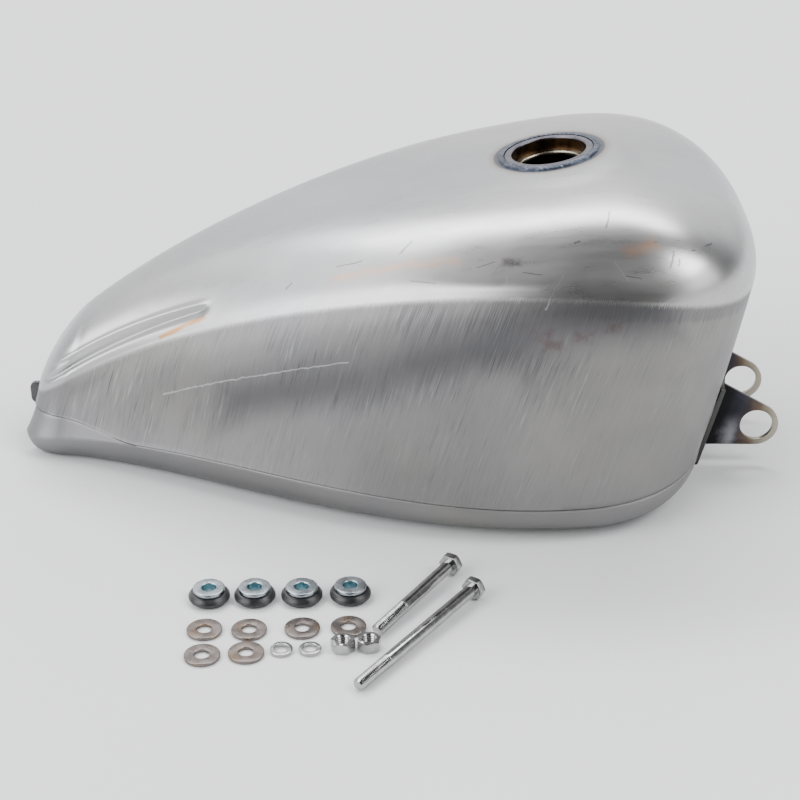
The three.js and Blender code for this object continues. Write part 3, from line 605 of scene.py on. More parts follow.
def thread_cutter(minor, major, mouth, length, pitch, place, steps=52):
    """Cuts a tapped hole from 0 to length with a countersink at either mouth."""
    angle = np.linspace(0, 2 * math.pi, steps, endpoint=False) + 0.03
    low, high = -1.0, length + 1.0
    z = np.linspace(low, high, int((high - low) / pitch * 10))[:, None]
    radius = minor + (major - minor) * thread_height(z, angle, pitch)
    radius = np.maximum(radius, mouth - 0.9 * np.maximum(np.minimum(z, length - z), 0))
    points = np.stack([radius * np.cos(angle), radius * np.sin(angle), z + 0 * radius], -1)
    ends = [np.tile([[[0.0, 0.0, value]]], (1, steps, 1)) for value in (low, high)]
    points = np.concatenate([ends[0], points, ends[1]]).reshape(-1, 3)
    return new_object("thread", place(points), grid_faces(len(z) + 2, steps, False, True))


def petcock_bung():
    def place(points):
        return points + np.array([OUTLET_X, OUTLET_Y, 0.0])
    drilled, minor, major, mouth = (BUNG_BORE_R + change for change in (-1.5, -0.7, 0.3, 0.8))
    profile = rounded([(drilled, 0.0), (BUNG_R, 0.0), (BUNG_R, BUNG_HEIGHT), (drilled, BUNG_HEIGHT)],
                      [0, 0.8, 0.8, 0], 3)
    body = turned("petcock_bung_look", profile, 72, place)
    cutter = thread_cutter(minor, major, mouth, BUNG_HEIGHT, BUNG_PITCH, place, 72)
    return combine(body, [cutter], "DIFFERENCE")


# ---- Ears and rear bracket ----


def foot_frame(side):
    """Places (out from the wall, outboard, up) of the foot's own frame."""
    def place(out, outboard, up):
        x = out * math.cos(FOOT_LEAN) + up * math.sin(FOOT_LEAN)
        z = up * math.cos(FOOT_LEAN) - out * math.sin(FOOT_LEAN)
        turned_x = x * math.cos(FOOT_TURN) - outboard * math.sin(FOOT_TURN)
        turned_y = EAR_HALF_SPACING - PLATE / 2 + x * math.sin(FOOT_TURN) + outboard * math.cos(FOOT_TURN)
        return np.stack([FOOT_TOP[0] + turned_x, side * turned_y, FOOT_TOP[1] + z], -1)
    return place


def front_ear(side, name):
    root_x, root_z = EAR_ROOT_TOP
    to_root = math.atan2(root_z - EAR_HOLE[1], root_x - EAR_HOLE[0])
    reach = math.hypot(root_x - EAR_HOLE[0], root_z - EAR_HOLE[1])
    tangent = math.degrees(to_root - math.acos(EAR_END_R / reach))
    back_x = root_x - EAR_ROOT_DEPTH
    outer = [(root_x, root_z), (back_x, root_z), (back_x, EAR_HOLE[1] - EAR_END_R)]
    outer += circle(*EAR_HOLE, EAR_END_R, -90, tangent, 40)
    hole = circle(*EAR_HOLE, EAR_HOLE_R, steps=72)
    y = side * EAR_HALF_SPACING
    ear = plate(name, outer, [hole], -PLATE / 2, PLATE / 2, lambda u, v, w: np.stack([u, y + w, v], -1))
    wide, deep, tip = FOOT_WIDTH, FOOT_LENGTH, FOOT_TIP_R
    sole = [(wide, 0), (0, 0)] + circle(tip, tip - deep, tip, 180, 270, 10)
    sole += circle(wide - tip, tip - deep, tip, 270, 360, 10)
    place = foot_frame(side)
    foot = plate("foot", sole, [], 0, PLATE, lambda u, v, w: place(w, u, v), edge=0.6)
    bend = EAR_BEND_R
    inside = [(PLATE - 0.5, PLATE - 0.5), (PLATE + bend, PLATE - 0.5)]
    inside += circle(PLATE + bend, PLATE + bend, bend, 270, 180, 10) + [(PLATE - 0.5, PLATE + bend)]
    fillet = plate("fillet", inside, [], -EAR_BEND_LENGTH, -EAR_BEND_TOP, place, edge=0)
    combine(ear, [foot, fillet], "UNION")
    return combine(ear, [whole_skin("skin", 0.15)], "DIFFERENCE", sharp=30)


def ear_weld(side, name, skin):
    """A rippled fillet bead down the outboard edge of the foot."""
    y = side * (EAR_HALF_SPACING - PLATE / 2 + FOOT_WIDTH + EAR_BEAD_R + 2 * GAP)
    along_bead, around = 110, 14
    points = np.empty((along_bead, around, 3))
    for i in range(along_bead):
        share = i / (along_bead - 1)
        z = FOOT_TOP[1] - 3 - share * (FOOT_LENGTH - 27)
        base, normal = hit(skin, np.array([400.0, y, z]), (-1, 0, 0))
        ripple = 0.5 + 0.5 * math.cos(share * 2 * math.pi * 17)
        size = EAR_BEAD_R * (0.80 + 0.16 * ripple) * min(1.0, 6 * share + 0.25, 6 * (1 - share) + 0.25)
        across = np.cross(normal, [0.0, 0.0, 1.0])
        across /= np.linalg.norm(across)
        for k in range(around):
            turn = 2 * math.pi * k / around
            points[i, k] = base + across * size * math.cos(turn) + normal * max(size * math.sin(turn), -0.3)
    faces = grid_faces(along_bead, around, False, True)
    faces += [tuple(range(around)), tuple(range((along_bead - 1) * around, along_bead * around))[::-1]]
    return new_object(name, points.reshape(-1, 3), faces, sharp=50)


def rear_bracket():
    """An inverted channel that stands out behind the tail."""
    front_x, bottom = REAR_END_X + REAR_LENGTH, REAR_TOP_Z - REAR_LEG_HEIGHT
    upper, lower = REAR_UPPER_CORNER_R, REAR_LOWER_CORNER_R
    leg = [(front_x, bottom), (front_x, REAR_TOP_Z)]
    leg += circle(REAR_END_X + upper, REAR_TOP_Z - upper, upper, 90, 180, 10)
    leg += circle(REAR_END_X + lower, bottom + lower, lower, 180, 270, 14)
    legs = []
    for side in (-1, 1):
        y = side * REAR_HALF_SPACING
        legs.append(plate(f"leg{side}", leg, [], -PLATE / 2, PLATE / 2,
                          lambda u, v, w, y=y: np.stack([u, y + w, v], -1), edge=0.7))
    web = [(REAR_END_X + upper, -REAR_HALF_SPACING), (front_x - 0.1, -REAR_HALF_SPACING),
           (front_x - 0.1, REAR_HALF_SPACING), (REAR_END_X + upper, REAR_HALF_SPACING)]
    bracket = plate("rear_mount_bracket_look", web, [circle(REAR_HOLE_X, 0, REAR_HOLE_R, steps=48)],
                    REAR_TOP_Z - PLATE, REAR_TOP_Z - 0.05, lambda u, v, w: np.stack([u, v, w], -1))
    combine(bracket, legs, "UNION")
    return combine(bracket, [tunnel_block(-SHEET - GAP, "room")], "INTERSECT", sharp=30)


# ---- Mounting kit ----


def standing(x, y, turn=0.0):
    """Places a piece that is drawn about its own centre with its lowest face at 0."""
    ahead, aside = math.cos(turn), math.sin(turn)
    axes = np.array([[ahead, aside, 0.0], [-aside, ahead, 0.0], [0.0, 0.0, 1.0]])
    return lambda points: points @ axes + np.array([x, y, 0.0])


def middle_of(node):
    low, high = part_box(node)
    return ((low[0] + high[0]) / 2 / MM - SHIFT[0], (low[1] + high[1]) / 2 / MM - SHIFT[1])


def rubber_mount(node):
    bore, low, high = BUSH_TUBE_R + GAP, RUBBER_SPIGOT_HEIGHT, RUBBER_HEIGHT
    seam = (low + high) / 2 - 0.3
    profile = rounded([
        (bore, 0), (RUBBER_SPIGOT_R, 0), (RUBBER_SPIGOT_R, low), (RUBBER_R - 0.5, low + 0.1),
        (RUBBER_R, low + 0.9), (RUBBER_R, seam - 0.25), (RUBBER_R - 0.3, seam), (RUBBER_R, seam + 0.25),
        (RUBBER_R - 0.1, high - 2.2), (RUBBER_TOP_R, high), (bore, high),
    ], [0.3, 0.8, 0.4, 0.5, 0.6, 0.15, 0.1, 0.15, 1.6, 0.9, 0.4], 5)
    return turned(node + "_look", profile, 96, standing(*middle_of(node)))


def flanged_bush(node):
    flange_low = RUBBER_HEIGHT + GAP
    flange_top = flange_low + BUSH_FLANGE_THICKNESS
    profile = rounded([
        (BUSH_BORE_R, GAP), (BUSH_TUBE_R, GAP), (BUSH_TUBE_R, flange_low), (BUSH_FLANGE_R, flange_low),
        (BUSH_FLANGE_R, flange_top), (BUSH_BORE_R, flange_top),
    ], [0.3, 0.3, 0.3, 0.5, 0.75, 0.7], 5)
    return turned(node + "_look", profile, 96, standing(*middle_of(node)))


def flat_washer(node):
    top = WASHER_THICKNESS
    profile = rounded([(WASHER_BORE_R, 0), (WASHER_R, 0), (WASHER_R, top), (WASHER_BORE_R, top)],
                      [0.15, 0.15, 0.45, 0.35], 4)
    warp = rng.uniform(0, math.pi)

    def place(points):
        turn = np.arctan2(points[:, 1], points[:, 0])
        bow = 0.05 * np.cos(2 * (turn - warp)) + 0.05
        points = points + np.stack([0 * bow, 0 * bow, bow * points[:, 2]], -1)
        return standing(*middle_of(node))(points)
    return turned(node + "_look", profile, 96, place)


def lock_washer(node, split):
    """A split ring whose ends stand a little apart in height."""
    low, high = LOCK_WASHER_BORE_R, LOCK_WASHER_R
    section = rounded([(low, 0.0), (high, 0.15), (high, 1.75), (low, 1.9)], 0.4, 4)
    opening = LOCK_WASHER_SPLIT / (low + high)
    turns = np.linspace(opening, 2 * math.pi - opening, 90)
    centre = middle_of(node)
    points = []
    for turn in turns:
        rise = 0.55 * (turn / (2 * math.pi)) ** 1.6
        points += [(r * math.cos(turn + split), r * math.sin(turn + split), z + rise) for r, z in section]
    count = len(section)
    faces = grid_faces(len(turns), count, False, True)
    faces += [tuple(range(count)), tuple(range((len(turns) - 1) * count, len(turns) * count))[::-1]]
    obj = new_object(node + "_look", standing(*centre)(np.array(points)), faces)
    return bevelled(obj, 0.12)


def hexagon(name, low, high, chamfer_low, chamfer_high, place):
    """A hexagonal block with its corners turned down at either end."""
    corner_r, face_r = HEX_FLATS / math.sqrt(3) + 0.1, HEX_FLATS / 2 - 0.15
    drop = (corner_r - face_r) * math.tan(math.pi / 6)
    corners = [(HEX_FLATS / math.sqrt(3) * math.cos(math.pi / 6 + math.pi * i / 3),
                HEX_FLATS / math.sqrt(3) * math.sin(math.pi / 6 + math.pi * i / 3)) for i in range(6)]
    block = plate(name, corners, [], low, high, lambda u, v, w: place(np.stack([u, v, w], -1)), edge=0.22)
    profile = [(face_r, low), (corner_r, low + drop)] if chamfer_low else [(corner_r, low)]
    profile += [(corner_r, high - drop), (face_r, high)] if chamfer_high else [(corner_r, high)]
    profile = [(0, low)] + profile + [(0, high)]
    return combine(block, [turned("chamfer", profile, 72, place)], "INTERSECT", sharp=25)


def hex_nut(node, turn):
    place = standing(*middle_of(node), math.radians(turn))
    nut = hexagon(node + "_look", 0, NUT_HEIGHT, True, True, place)
    cutter = thread_cutter(NUT_BORE_R, BOLT_R, BOLT_R + 0.55, NUT_HEIGHT, THREAD_PITCH, place)
    return combine(nut, [cutter], "DIFFERENCE", sharp=28)


def hex_bolt(node, length, head, heading):
    dip = math.atan((HEX_FLATS / 2 - BOLT_R) / length)
    height = HEX_FLATS / 2 * math.cos(dip) + HEAD_HEIGHT * math.sin(dip)
    turn = Matrix.Rotation(math.radians(heading), 3, "Z") @ Matrix.Rotation(math.pi / 2 + dip, 3, "Y")
    turn = np.array(turn)

    def place(points):
        return np.asarray(points, float) @ turn.T + np.array([head[0], head[1], height])

    end = HEAD_HEIGHT + length
    start = end - THREAD_LENGTH
    steps, minor = 48, BOLT_R - 0.62
    plain = np.linspace(HEAD_HEIGHT + 2, start - 0.5, 24)
    thread = np.linspace(start, end - 0.4, int(THREAD_LENGTH / THREAD_PITCH * 10))
    z = np.concatenate([[HEAD_HEIGHT - 1, HEAD_HEIGHT, HEAD_HEIGHT + 0.3], plain, thread, [end]])
    angle = np.linspace(0, 2 * math.pi, steps, endpoint=False)
    depth = thread_height(z[:, None], angle[None, :], THREAD_PITCH)
    threaded = step_up(z, start, start + 1.6)[:, None]
    radius = BOLT_R * (1 - threaded) + (minor + (BOLT_R - 0.1 - minor) * depth) * threaded
    radius = np.minimum(radius, BOLT_R - 1.3 + np.maximum(end - z, 0)[:, None] * 0.95)
    points = np.stack([radius * np.cos(angle), radius * np.sin(angle), z[:, None] + 0 * radius], -1)
    caps = [np.tile([[[0.0, 0.0, value]]], (1, steps, 1)) for value in (z[0], end)]
    points = np.concatenate([caps[0], points, caps[1]]).reshape(-1, 3)
    shank = new_object("shank", place(points), grid_faces(len(z) + 2, steps, False, True))
    collar = turned("collar", [(0, HEAD_HEIGHT - 1), (HEX_FLATS / 2 - 0.5, HEAD_HEIGHT - 1),
                               (HEX_FLATS / 2 - 0.5, HEAD_HEIGHT), (0, HEAD_HEIGHT)], 72, place)
    block = hexagon(node + "_look", 0, HEAD_HEIGHT - 0.4, True, False, place)
    return combine(block, [collar, shank], "UNION", sharp=28)


# ---- Materials ----


class Nodes:
    """Short calls that add nodes to a tree."""

    def __init__(self, tree):
        self.tree = tree

    def put(self, socket, value):
        if isinstance(value, bpy.types.NodeSocket):
            self.tree.links.new(value, socket)
        elif isinstance(value, (tuple, list)) and len(value) == 3 and len(socket.default_value) == 4:
            socket.default_value = (*value, 1)
        else:
            socket.default_value = value

    def add(self, kind, values=(), output=0, **settings):
        node = self.tree.nodes.new("ShaderNode" + kind)
        for key, value in settings.items():
            setattr(node, key, value)
        for key, value in dict(values).items():
            self.put(node.inputs[key], value)
        return node.outputs[output]

    def math(self, operation, a, b=0.0, c=0.0):
        return self.add("Math", {0: a, 1: b, 2: c}, operation=operation)

    def times(self, *factors):
        total = factors[0]
        for factor in factors[1:]:
            total = self.math("MULTIPLY", total, factor)
        return total

    def vector(self, operation, a, b=(0, 0, 0), output=0):
        return self.add("VectorMath", {0: a, 1: b}, output, operation=operation)

    def position(self):
        """A place in the row frame, in metres: every piece's own frame is the row frame."""
        return self.add("TexCoord", output=3)

    def scaled(self, vector, scale, offset=(0, 0, 0)):
        return self.add("Mapping", {"Vector": vector, "Scale": scale, "Location": offset})

    def texture(self, place, scale, offset=(0, 0, 0), *, detail, roughness=0.55):
        """Noise with one scale, or one for each axis."""
        stretch = scale if isinstance(scale, tuple) else (scale, scale, scale)
        vector = self.scaled(place, stretch, offset)
        values = {"Vector": vector, "Scale": 1.0, "Detail": float(detail), "Roughness": roughness}
        return self.add("TexNoise", values)

    def span(self, value, low, high, to_low=0.0, to_high=1.0):
        """Eases from to_low at low to to_high at high."""
        values = {0: value, 1: low, 2: high, 3: to_low, 4: to_high}
        return self.add("MapRange", values, interpolation_type="SMOOTHSTEP")

    def ramp(self, value, *stops):
        node = self.tree.nodes.new("ShaderNodeValToRGB")
        self.put(node.inputs[0], value)
        elements = node.color_ramp.elements
        while len(elements) < len(stops):
            elements.new(0.5)
        for element, (place, color) in zip(elements, stops):
            element.position = place
            element.color = (*color, 1)
        return node.outputs[0]

    def mix(self, factor, a, b):
        node = self.tree.nodes.new("ShaderNodeMix")
        node.data_type = "RGBA"
        node.clamp_factor = True
        for index, value in ((0, factor), (6, a), (7, b)):
            self.put(node.inputs[index], value)
        return node.outputs[2]

    def distance(self, position, centre):
        return self.vector("LENGTH", self.vector("SUBTRACT", position, centre), output=1)

    def bump(self, height, depth, before=None):
        values = {"Height": height, "Distance": depth, "Strength": 1.0}
        if before is not None:
            values["Normal"] = before
        return self.add("Bump", values)

    def split(self, vector):
        node = self.tree.nodes.new("ShaderNodeSeparateXYZ")
        self.put(node.inputs[0], vector)
        return node.outputs

    def blend(self, factor, a, b):
        return self.add("Mix", {0: factor, 2: a, 3: b})

    def window(self, value, low, high, soft):
        """1 between low and high, easing to 0 outside them."""
        rising = self.span(value, low - soft, low + soft)
        return self.times(rising, self.span(value, high + soft, high - soft))


class Look(Nodes):
    """A material with one principled shader."""

    def __init__(self, name, **settings):
        self.material = bpy.data.materials.new(name)
        self.material.use_nodes = True
        super().__init__(self.material.node_tree)
        self.shader = self.tree.nodes["Principled BSDF"]
        for key, value in settings.items():
            self.put(self.shader.inputs[key.replace("_", " ")], value)

    def finish(self, color, roughness=None, normal=None):
        for key, value in (("Base Color", color), ("Roughness", roughness), ("Normal", normal)):
            if value is not None:
                self.put(self.shader.inputs[key], value)
        return self.material


def row(point):
    return tuple(float(v) for v in to_row(point))


def plane_distance(look, position, point, normal):
    """Signed distance in metres from a plane."""
    moved = look.vector("SUBTRACT", position, row(point))
    return look.vector("DOT_PRODUCT", moved, tuple(normal), 1)


half_walls = (loop_ribs["shoulder_z"] - loop_ribs["crease_z"])[:len(edge_t), 0] * MM


def draw_place(t, level):
    """Where a place on the right-hand skin lies on the "draw" map."""
    up = CROWN_WIDTH if level <= 1 else float(np.interp(t, edge_t, half_walls))
    return (-float(np.interp(t, edge_t, arc)) * MM, (1 - level) * up, 0.0)


def streak(look, place, path, width, soft):
    """1 along a path of (t, level) places on the skin, fading over its width in metres."""
    total = None
    for start, end in zip(path, path[1:]):
        a, b = np.array(draw_place(*start)), np.array(draw_place(*end))
        length = float(np.linalg.norm(b - a))
        heading = (b - a) / length
        moved = look.vector("SUBTRACT", place, tuple(a))
        ahead = look.vector("DOT_PRODUCT", moved, tuple(heading), 1)
        aside = look.vector("DOT_PRODUCT", moved, (-heading[1], heading[0], 0.0), 1)
        beyond = look.math("MAXIMUM", look.math("SUBTRACT", ahead, length), look.times(ahead, -1))
        reach = look.math("MAXIMUM", look.math("ABSOLUTE", aside), beyond)
        part = look.span(reach, width, width * soft)
        total = part if total is None else look.math("MAXIMUM", total, part)
    return total


# Marks and painted shade on the right-hand side, at round places: each a path of (t, level) places on the
# skin.
# t is half_edge()'s way round from nose to tail, and level is shell_point()'s.
LIGHT_SCRATCHES = (((1.8, 1.5), (1.6, 1.37), (1.45, 1.3)), ((1.2, 0.8), (1.2, 0.9)),
                   ((1.1, 0.8), (1.12, 1.04)), ((1.0, 0.7), (0.98, 0.85)), ((0.88, 1.0), (0.84, 0.96)))
COPPER_STREAKS = (((1.5, 0.73), (1.4, 0.68), (1.3, 0.65)), ((0.96, 0.65), (0.87, 0.62)))
BRAZE_STREAK = ((1.82, 0.95), (1.75, 0.89))
STAIN_PLACES = ((1.2, 0.68), (1.12, 1.15), (1.1, 1.2), (1.05, 1.15), (1.0, 1.1))
STAINS = [((t, level), (t - 0.01, level)) for t, level in STAIN_PLACES]
# Painted shade on the wall, streaked like the draw marks, standing in for a dark wedge of mirrored
# surroundings.
PAINTED_SHADE_COMBS = (((1.35, 1.05), (1.2, 1.2)), ((1.2, 1.1), (1.12, 1.3)))
# A band of painted shade down the wall below the die line, standing in for dark surroundings mirrored
# there.
PAINTED_SHADE_BAND = ((0.9, 1.04), (1.1, 1.12), (1.4, 1.38), (1.65, 1.55))
DARK_SCRATCH_COUNT = 13


def dark_scratches():
    """Short handling scratches scattered along the shoulder above the die line."""
    scatter = random.Random(11)
    paths = []
    for k in range(DARK_SCRATCH_COUNT):
        t, level = 0.6 + (k + scatter.random()) / DARK_SCRATCH_COUNT, scatter.uniform(0.5, 0.82)
        along_t, along_level = scatter.uniform(0.01, 0.05), scatter.uniform(-0.09, 0.09)
        paths.append(((t, level), (t - along_t, level + along_level)))
    return paths


def drawn_steel(name, marked):
    """Bare drawn sheet: smooth above the die line and combed with draw marks below it, with painted shade
    on the wall.
    """
    look = Look(name, Metallic=1.0)
    position = look.position()
    uv = look.add("UVMap", uv_map="draw")
    u, v = look.split(uv)[:2]

    cloud = look.texture(position, (9, 14, 12), detail=4)
    tint = look.texture(position, (5, 6, 6), (3, 1, 2), detail=2)
    grain = look.texture(position, (500, 1500, 1500), detail=3)
    smear = look.texture(position, (38, 190, 130), (1, 5, 2), detail=5, roughness=0.6)
    mottle = look.texture(position, 130, (2, 2, 5), detail=5, roughness=0.7)

    # Draw marks lean forward as they rise.
    lean = look.math("MULTIPLY_ADD", v, -0.16, u)
    drawn = look.add("CombineXYZ", {0: lean, 1: v})
    fine = look.texture(drawn, (1500, 34, 1), detail=3, roughness=0.6)
    broad = look.texture(drawn, (420, 26, 1), (7, 0, 0), detail=3, roughness=0.6)
    deep = look.texture(drawn, (900, 38, 1), (3, 9, 0), detail=2)
    cluster = look.texture(drawn, (34, 22, 1), (5, 3, 0), detail=2)
    comb = look.math("MULTIPLY_ADD", look.math("SUBTRACT", fine, 0.5), 0.012, v)
    below = look.span(comb, 0.0015, -0.0025)
    rearward = look.span(u, -0.16, -0.30, 0.45, 1.0)
    strong = look.times(below, rearward, look.span(cluster, 0.35, 0.62, 0.25, 1.0),
                        look.span(v, -0.10, -0.05, 0.45, 1.0))
    scored = look.times(strong, look.span(deep, 0.58, 0.70))

    crown = look.ramp(tint, (0.30, (0.42, 0.435, 0.455)), (0.5, (0.44, 0.44, 0.445)),
                      (0.72, (0.455, 0.447, 0.435)))
    # The wall is darker than the crown partly for its combed finish and partly as painted shade of the
    # darker floor it mirrors.
    wall = look.ramp(tint, (0.40, (0.232, 0.231, 0.238)), (0.60, (0.248, 0.243, 0.232)))
    color = look.mix(below, crown, wall)
    color = look.mix(look.span(cloud, 0.25, 0.8, 0.3, 0.0), color, look.mix(0.6, color, (0, 0, 0)))
    color = look.mix(look.times(look.span(smear, 0.60, 0.76), 0.20), color, (0.21, 0.21, 0.22))
    if marked:
        streaks = look.span(fine, 0.34, 0.66, 0.0, 0.42)
        color = look.mix(look.times(streaks, strong), color, (0.11, 0.11, 0.118))
        light = look.times(look.span(broad, 0.56, 0.72, 0.0, 0.45), strong)
        color = look.mix(light, color, (0.42, 0.42, 0.43))
        dark = look.times(look.span(broad, 0.46, 0.30, 0.0, 0.50), strong)
        color = look.mix(dark, color, (0.12, 0.12, 0.128))
        color = look.mix(look.times(scored, 0.6), color, (0.05, 0.05, 0.056))
        lip = look.times(look.window(comb, -0.010, -0.0015, 0.0015), look.span(u, -0.30, -0.20))
        lip = look.times(lip, look.span(fine, 0.36, 0.60, 0.15, 0.60))
        color = look.mix(lip, color, (0.10, 0.10, 0.11))

        wander = look.add("TexNoise", {"Vector": look.scaled(uv, (45, 45, 1)), "Detail": 1.0}, output=1)
        shift = look.vector("SUBTRACT", wander, (0.5, 0.5, 0.5))
        shift = look.add("VectorMath", {0: shift, 3: 0.0025}, operation="SCALE")
        place = look.vector("ADD", uv, shift)
        # How strong the painted shade is: streaked with the combing, and clouded along the band.
        combed = look.times(below, look.span(fine, 0.38, 0.62, 0.15, 0.60))
        shade_band_strength = look.times(below, look.span(cloud, 0.2, 0.6, 0.55, 0.85))
        # paths, width in metres, softness, strength, colour
        marks = (
            # painted shade: a dark band and dark combed streaks on the wall
            ([PAINTED_SHADE_BAND], 0.030, 0.0, shade_band_strength, (0.085, 0.083, 0.090)),
            (PAINTED_SHADE_COMBS, 0.026, 0.0, combed, (0.08, 0.08, 0.088)),
            (COPPER_STREAKS, 0.0085, 0.0, look.span(mottle, 0.38, 0.66, 0.2625, 0.75), (0.62, 0.38, 0.25)),
            ([BRAZE_STREAK], 0.0045, 0.3, look.span(mottle, 0.3, 0.5, 0.4, 0.95), (0.40, 0.21, 0.09)),
            (STAINS, 0.0065, 0.2, look.span(mottle, 0.40, 0.60, 0.15, 0.7), (0.10, 0.075, 0.075)),
            (dark_scratches(), 0.0009, 0.4, 0.6, (0.08, 0.08, 0.095)),
            (LIGHT_SCRATCHES, 0.0007, 0.4, 0.32, (0.66, 0.65, 0.64)),
        )
        for paths, width, soft, strength, tone in marks:
            for path in paths:
                color = look.mix(look.times(streak(look, place, path, width, soft), strength), color, tone)

    # Heat tint round the filler weld
    away = plane_distance(look, position, FILLER, FILLER_UP)
    rise = look.add("VectorMath", {0: tuple(FILLER_UP), 3: away}, operation="SCALE")
    radial = look.distance(look.vector("SUBTRACT", position, rise), row(FILLER))
    halo = look.math("ADD", radial, look.span(cloud, 0.2, 0.8, -0.0015, 0.0015))
    near_top = look.span(look.split(position)[2], 0.17, 0.18)
    outer_halo = look.times(look.span(halo, 0.0415, 0.0360, 0, 0.7), near_top)
    color = look.mix(outer_halo, color, (0.27, 0.235, 0.19))
    color = look.mix(look.times(look.span(halo, 0.0370, 0.0348), near_top), color, (0.055, 0.06, 0.08))

    smooth_part = look.math("MULTIPLY_ADD", look.math("SUBTRACT", smear, 0.5), 0.14, 0.29)
    combed_part = look.math("MULTIPLY_ADD", look.math("SUBTRACT", fine, 0.5), 0.22, 0.45)
    roughness = look.blend(below, smooth_part, combed_part)
    normal = look.bump(grain, 0.000006)
    if marked:
        height = look.times(look.math("MULTIPLY_ADD", broad, 0.8, fine), strong)
        normal = look.bump(height, 0.00007, normal)
    return look.finish(color, roughness, normal)


def weld_look(name, low, high, spatter):
    look = Look(name, Metallic=1.0)
    position = look.position()
    spots = look.texture(position, 520, detail=4, roughness=0.7)
    patches = look.texture(position, 120, detail=2)
    color = look.ramp(patches, (0.34, low), (0.66, high))
    color = look.mix(look.span(spots, 0.60, 0.70, 0, 0.9), color, spatter)
    return look.finish(color, look.span(spots, 0.35, 0.7, 0.42, 0.28), look.bump(spots, 0.00018))


def neck_look(kind):
    look = Look("filler_neck_" + kind, Metallic=1.0)
    position = look.position()
    patches = look.texture(position, (110, 110, 60), detail=4)
    turned_marks = look.texture(position, (40, 40, 2600), detail=2)
    shades = {
        "rim": ((0.060, 0.058, 0.070), (0.120, 0.116, 0.134)),
        "wall": ((0.030, 0.016, 0.008), (0.10, 0.055, 0.025)),
        "ledge": ((0.30, 0.27, 0.20), (0.44, 0.41, 0.33)),
    }
    low, high = shades[kind]
    color = look.ramp(patches, (0.35, low), (0.65, high))
    return look.finish(color, look.span(patches, 0.3, 0.7, 0.24, 0.38), look.bump(turned_marks, 0.00003))


def ear_look():
    """Heat tints run outwards from the weld at the foot, with a bare patch low down beside the bend."""
    look = Look("heat_tinted_steel", Metallic=1.0)
    position = look.position()
    wander = look.texture(position, 70, detail=3)
    stain = look.texture(position, 260, detail=4, roughness=0.65)
    normal = np.array([math.cos(FOOT_LEAN), 0.0, -math.sin(FOOT_LEAN)])
    reach = plane_distance(look, position, (FOOT_TOP[0] + PLATE, 0, FOOT_TOP[1]), normal)
    reach = look.math("ADD", reach, look.span(wander, 0.25, 0.75, -0.0025, 0.0025))
    share = look.times(reach, 1 / 0.05)
    low = look.span(look.split(position)[2], 0.038, 0.020)
    color = look.ramp(share, (0.0, (0.010, 0.010, 0.009)), (0.20, (0.016, 0.016, 0.018)),
                      (0.36, (0.035, 0.035, 0.045)), (0.48, (0.050, 0.042, 0.045)),
                      (0.60, (0.11, 0.082, 0.058)), (0.72, (0.23, 0.20, 0.155)),
                      (0.86, (0.34, 0.315, 0.255)), (1.0, (0.38, 0.355, 0.30)))
    bare = look.times(look.window(share, 0.26, 0.42, 0.10), low)
    color = look.mix(bare, color, (0.21, 0.21, 0.225))
    outboard = look.math("ABSOLUTE", plane_distance(look, position, (0, 0, 0), (0, 1, 0)))
    outer_edge = (EAR_HALF_SPACING - PLATE / 2 + FOOT_WIDTH) * MM
    at_edge = look.span(outboard, outer_edge - 0.0014, outer_edge - 0.0004, 0, 0.7)
    color = look.mix(at_edge, color, (0.10, 0.10, 0.095))
    color = look.mix(look.span(stain, 0.62, 0.74, 0.0, 0.4), color, (0.05, 0.04, 0.03))
    rough = look.span(share, 0.1, 0.5, 0.42, 0.30)
    return look.finish(color, rough, look.bump(stain, 0.00004))


def black_look():
    look = Look("black_paint", Coat_Weight=0.6, Coat_Roughness=0.12)
    position = look.position()
    peel = look.texture(position, 260, detail=2)
    dust = look.texture(position, 900, detail=3)
    color = look.ramp(dust, (0.4, (0.012, 0.012, 0.013)), (0.75, (0.035, 0.035, 0.036)))
    return look.finish(color, look.span(peel, 0.3, 0.7, 0.28, 0.42), look.bump(peel, 0.0001))


def plated(name, low, high, rough, scale=160, stain=None):
    look = Look(name, Metallic=1.0)
    position = look.position()
    patches = look.texture(position, scale, detail=4)
    fine = look.texture(position, 1600, detail=3)
    color = look.ramp(patches, (0.32, low), (0.68, high))
    if stain:
        blotch = look.texture(position, 85, (4, 2, 1), detail=3)
        color = look.mix(look.span(blotch, 0.50, 0.68, 0, 0.7), color, stain)
    rough = look.span(patches, 0.3, 0.7, rough - 0.05, rough + 0.07)
    return look.finish(color, rough, look.bump(fine, 0.00002))


def rubber_look():
    look = Look("black_rubber", Specular_IOR_Level=0.5)
    position = look.position()
    bloom = look.texture(position, 220, detail=4)
    pores = look.texture(position, 2600, detail=2)
    color = look.ramp(bloom, (0.35, (0.008, 0.008, 0.009)), (0.75, (0.028, 0.028, 0.03)))
    return look.finish(color, look.span(bloom, 0.3, 0.7, 0.26, 0.42), look.bump(pores, 0.00004))


looks = {
    "steel": drawn_steel("raw_drawn_steel", True), "pan": drawn_steel("raw_pan_steel", False),
    "neck_weld": weld_look("neck_weld", (0.028, 0.034, 0.050), (0.075, 0.087, 0.115), (0.36, 0.38, 0.42)),
    "ear_weld": weld_look("ear_weld", (0.10, 0.10, 0.10), (0.30, 0.30, 0.295), (0.42, 0.42, 0.42)),
    "ear": ear_look(), "black": black_look(), "rubber": rubber_look(),
    "rim": neck_look("rim"), "wall": neck_look("wall"), "ledge": neck_look("ledge"),
    "zinc": plated("zinc_plate", (0.27, 0.30, 0.325), (0.36, 0.39, 0.41), 0.27),
    "zinc_bore": plated("zinc_bore", (0.32, 0.50, 0.55), (0.52, 0.72, 0.77), 0.22),
    "washer": plated("washer_plate", (0.150, 0.128, 0.118), (0.200, 0.178, 0.165), 0.28,
                     stain=(0.20, 0.135, 0.09)),
    "bright": plated("bright_plate", (0.33, 0.325, 0.32), (0.46, 0.46, 0.46), 0.12, 240),
}


# ---- Pieces on their bodies ----


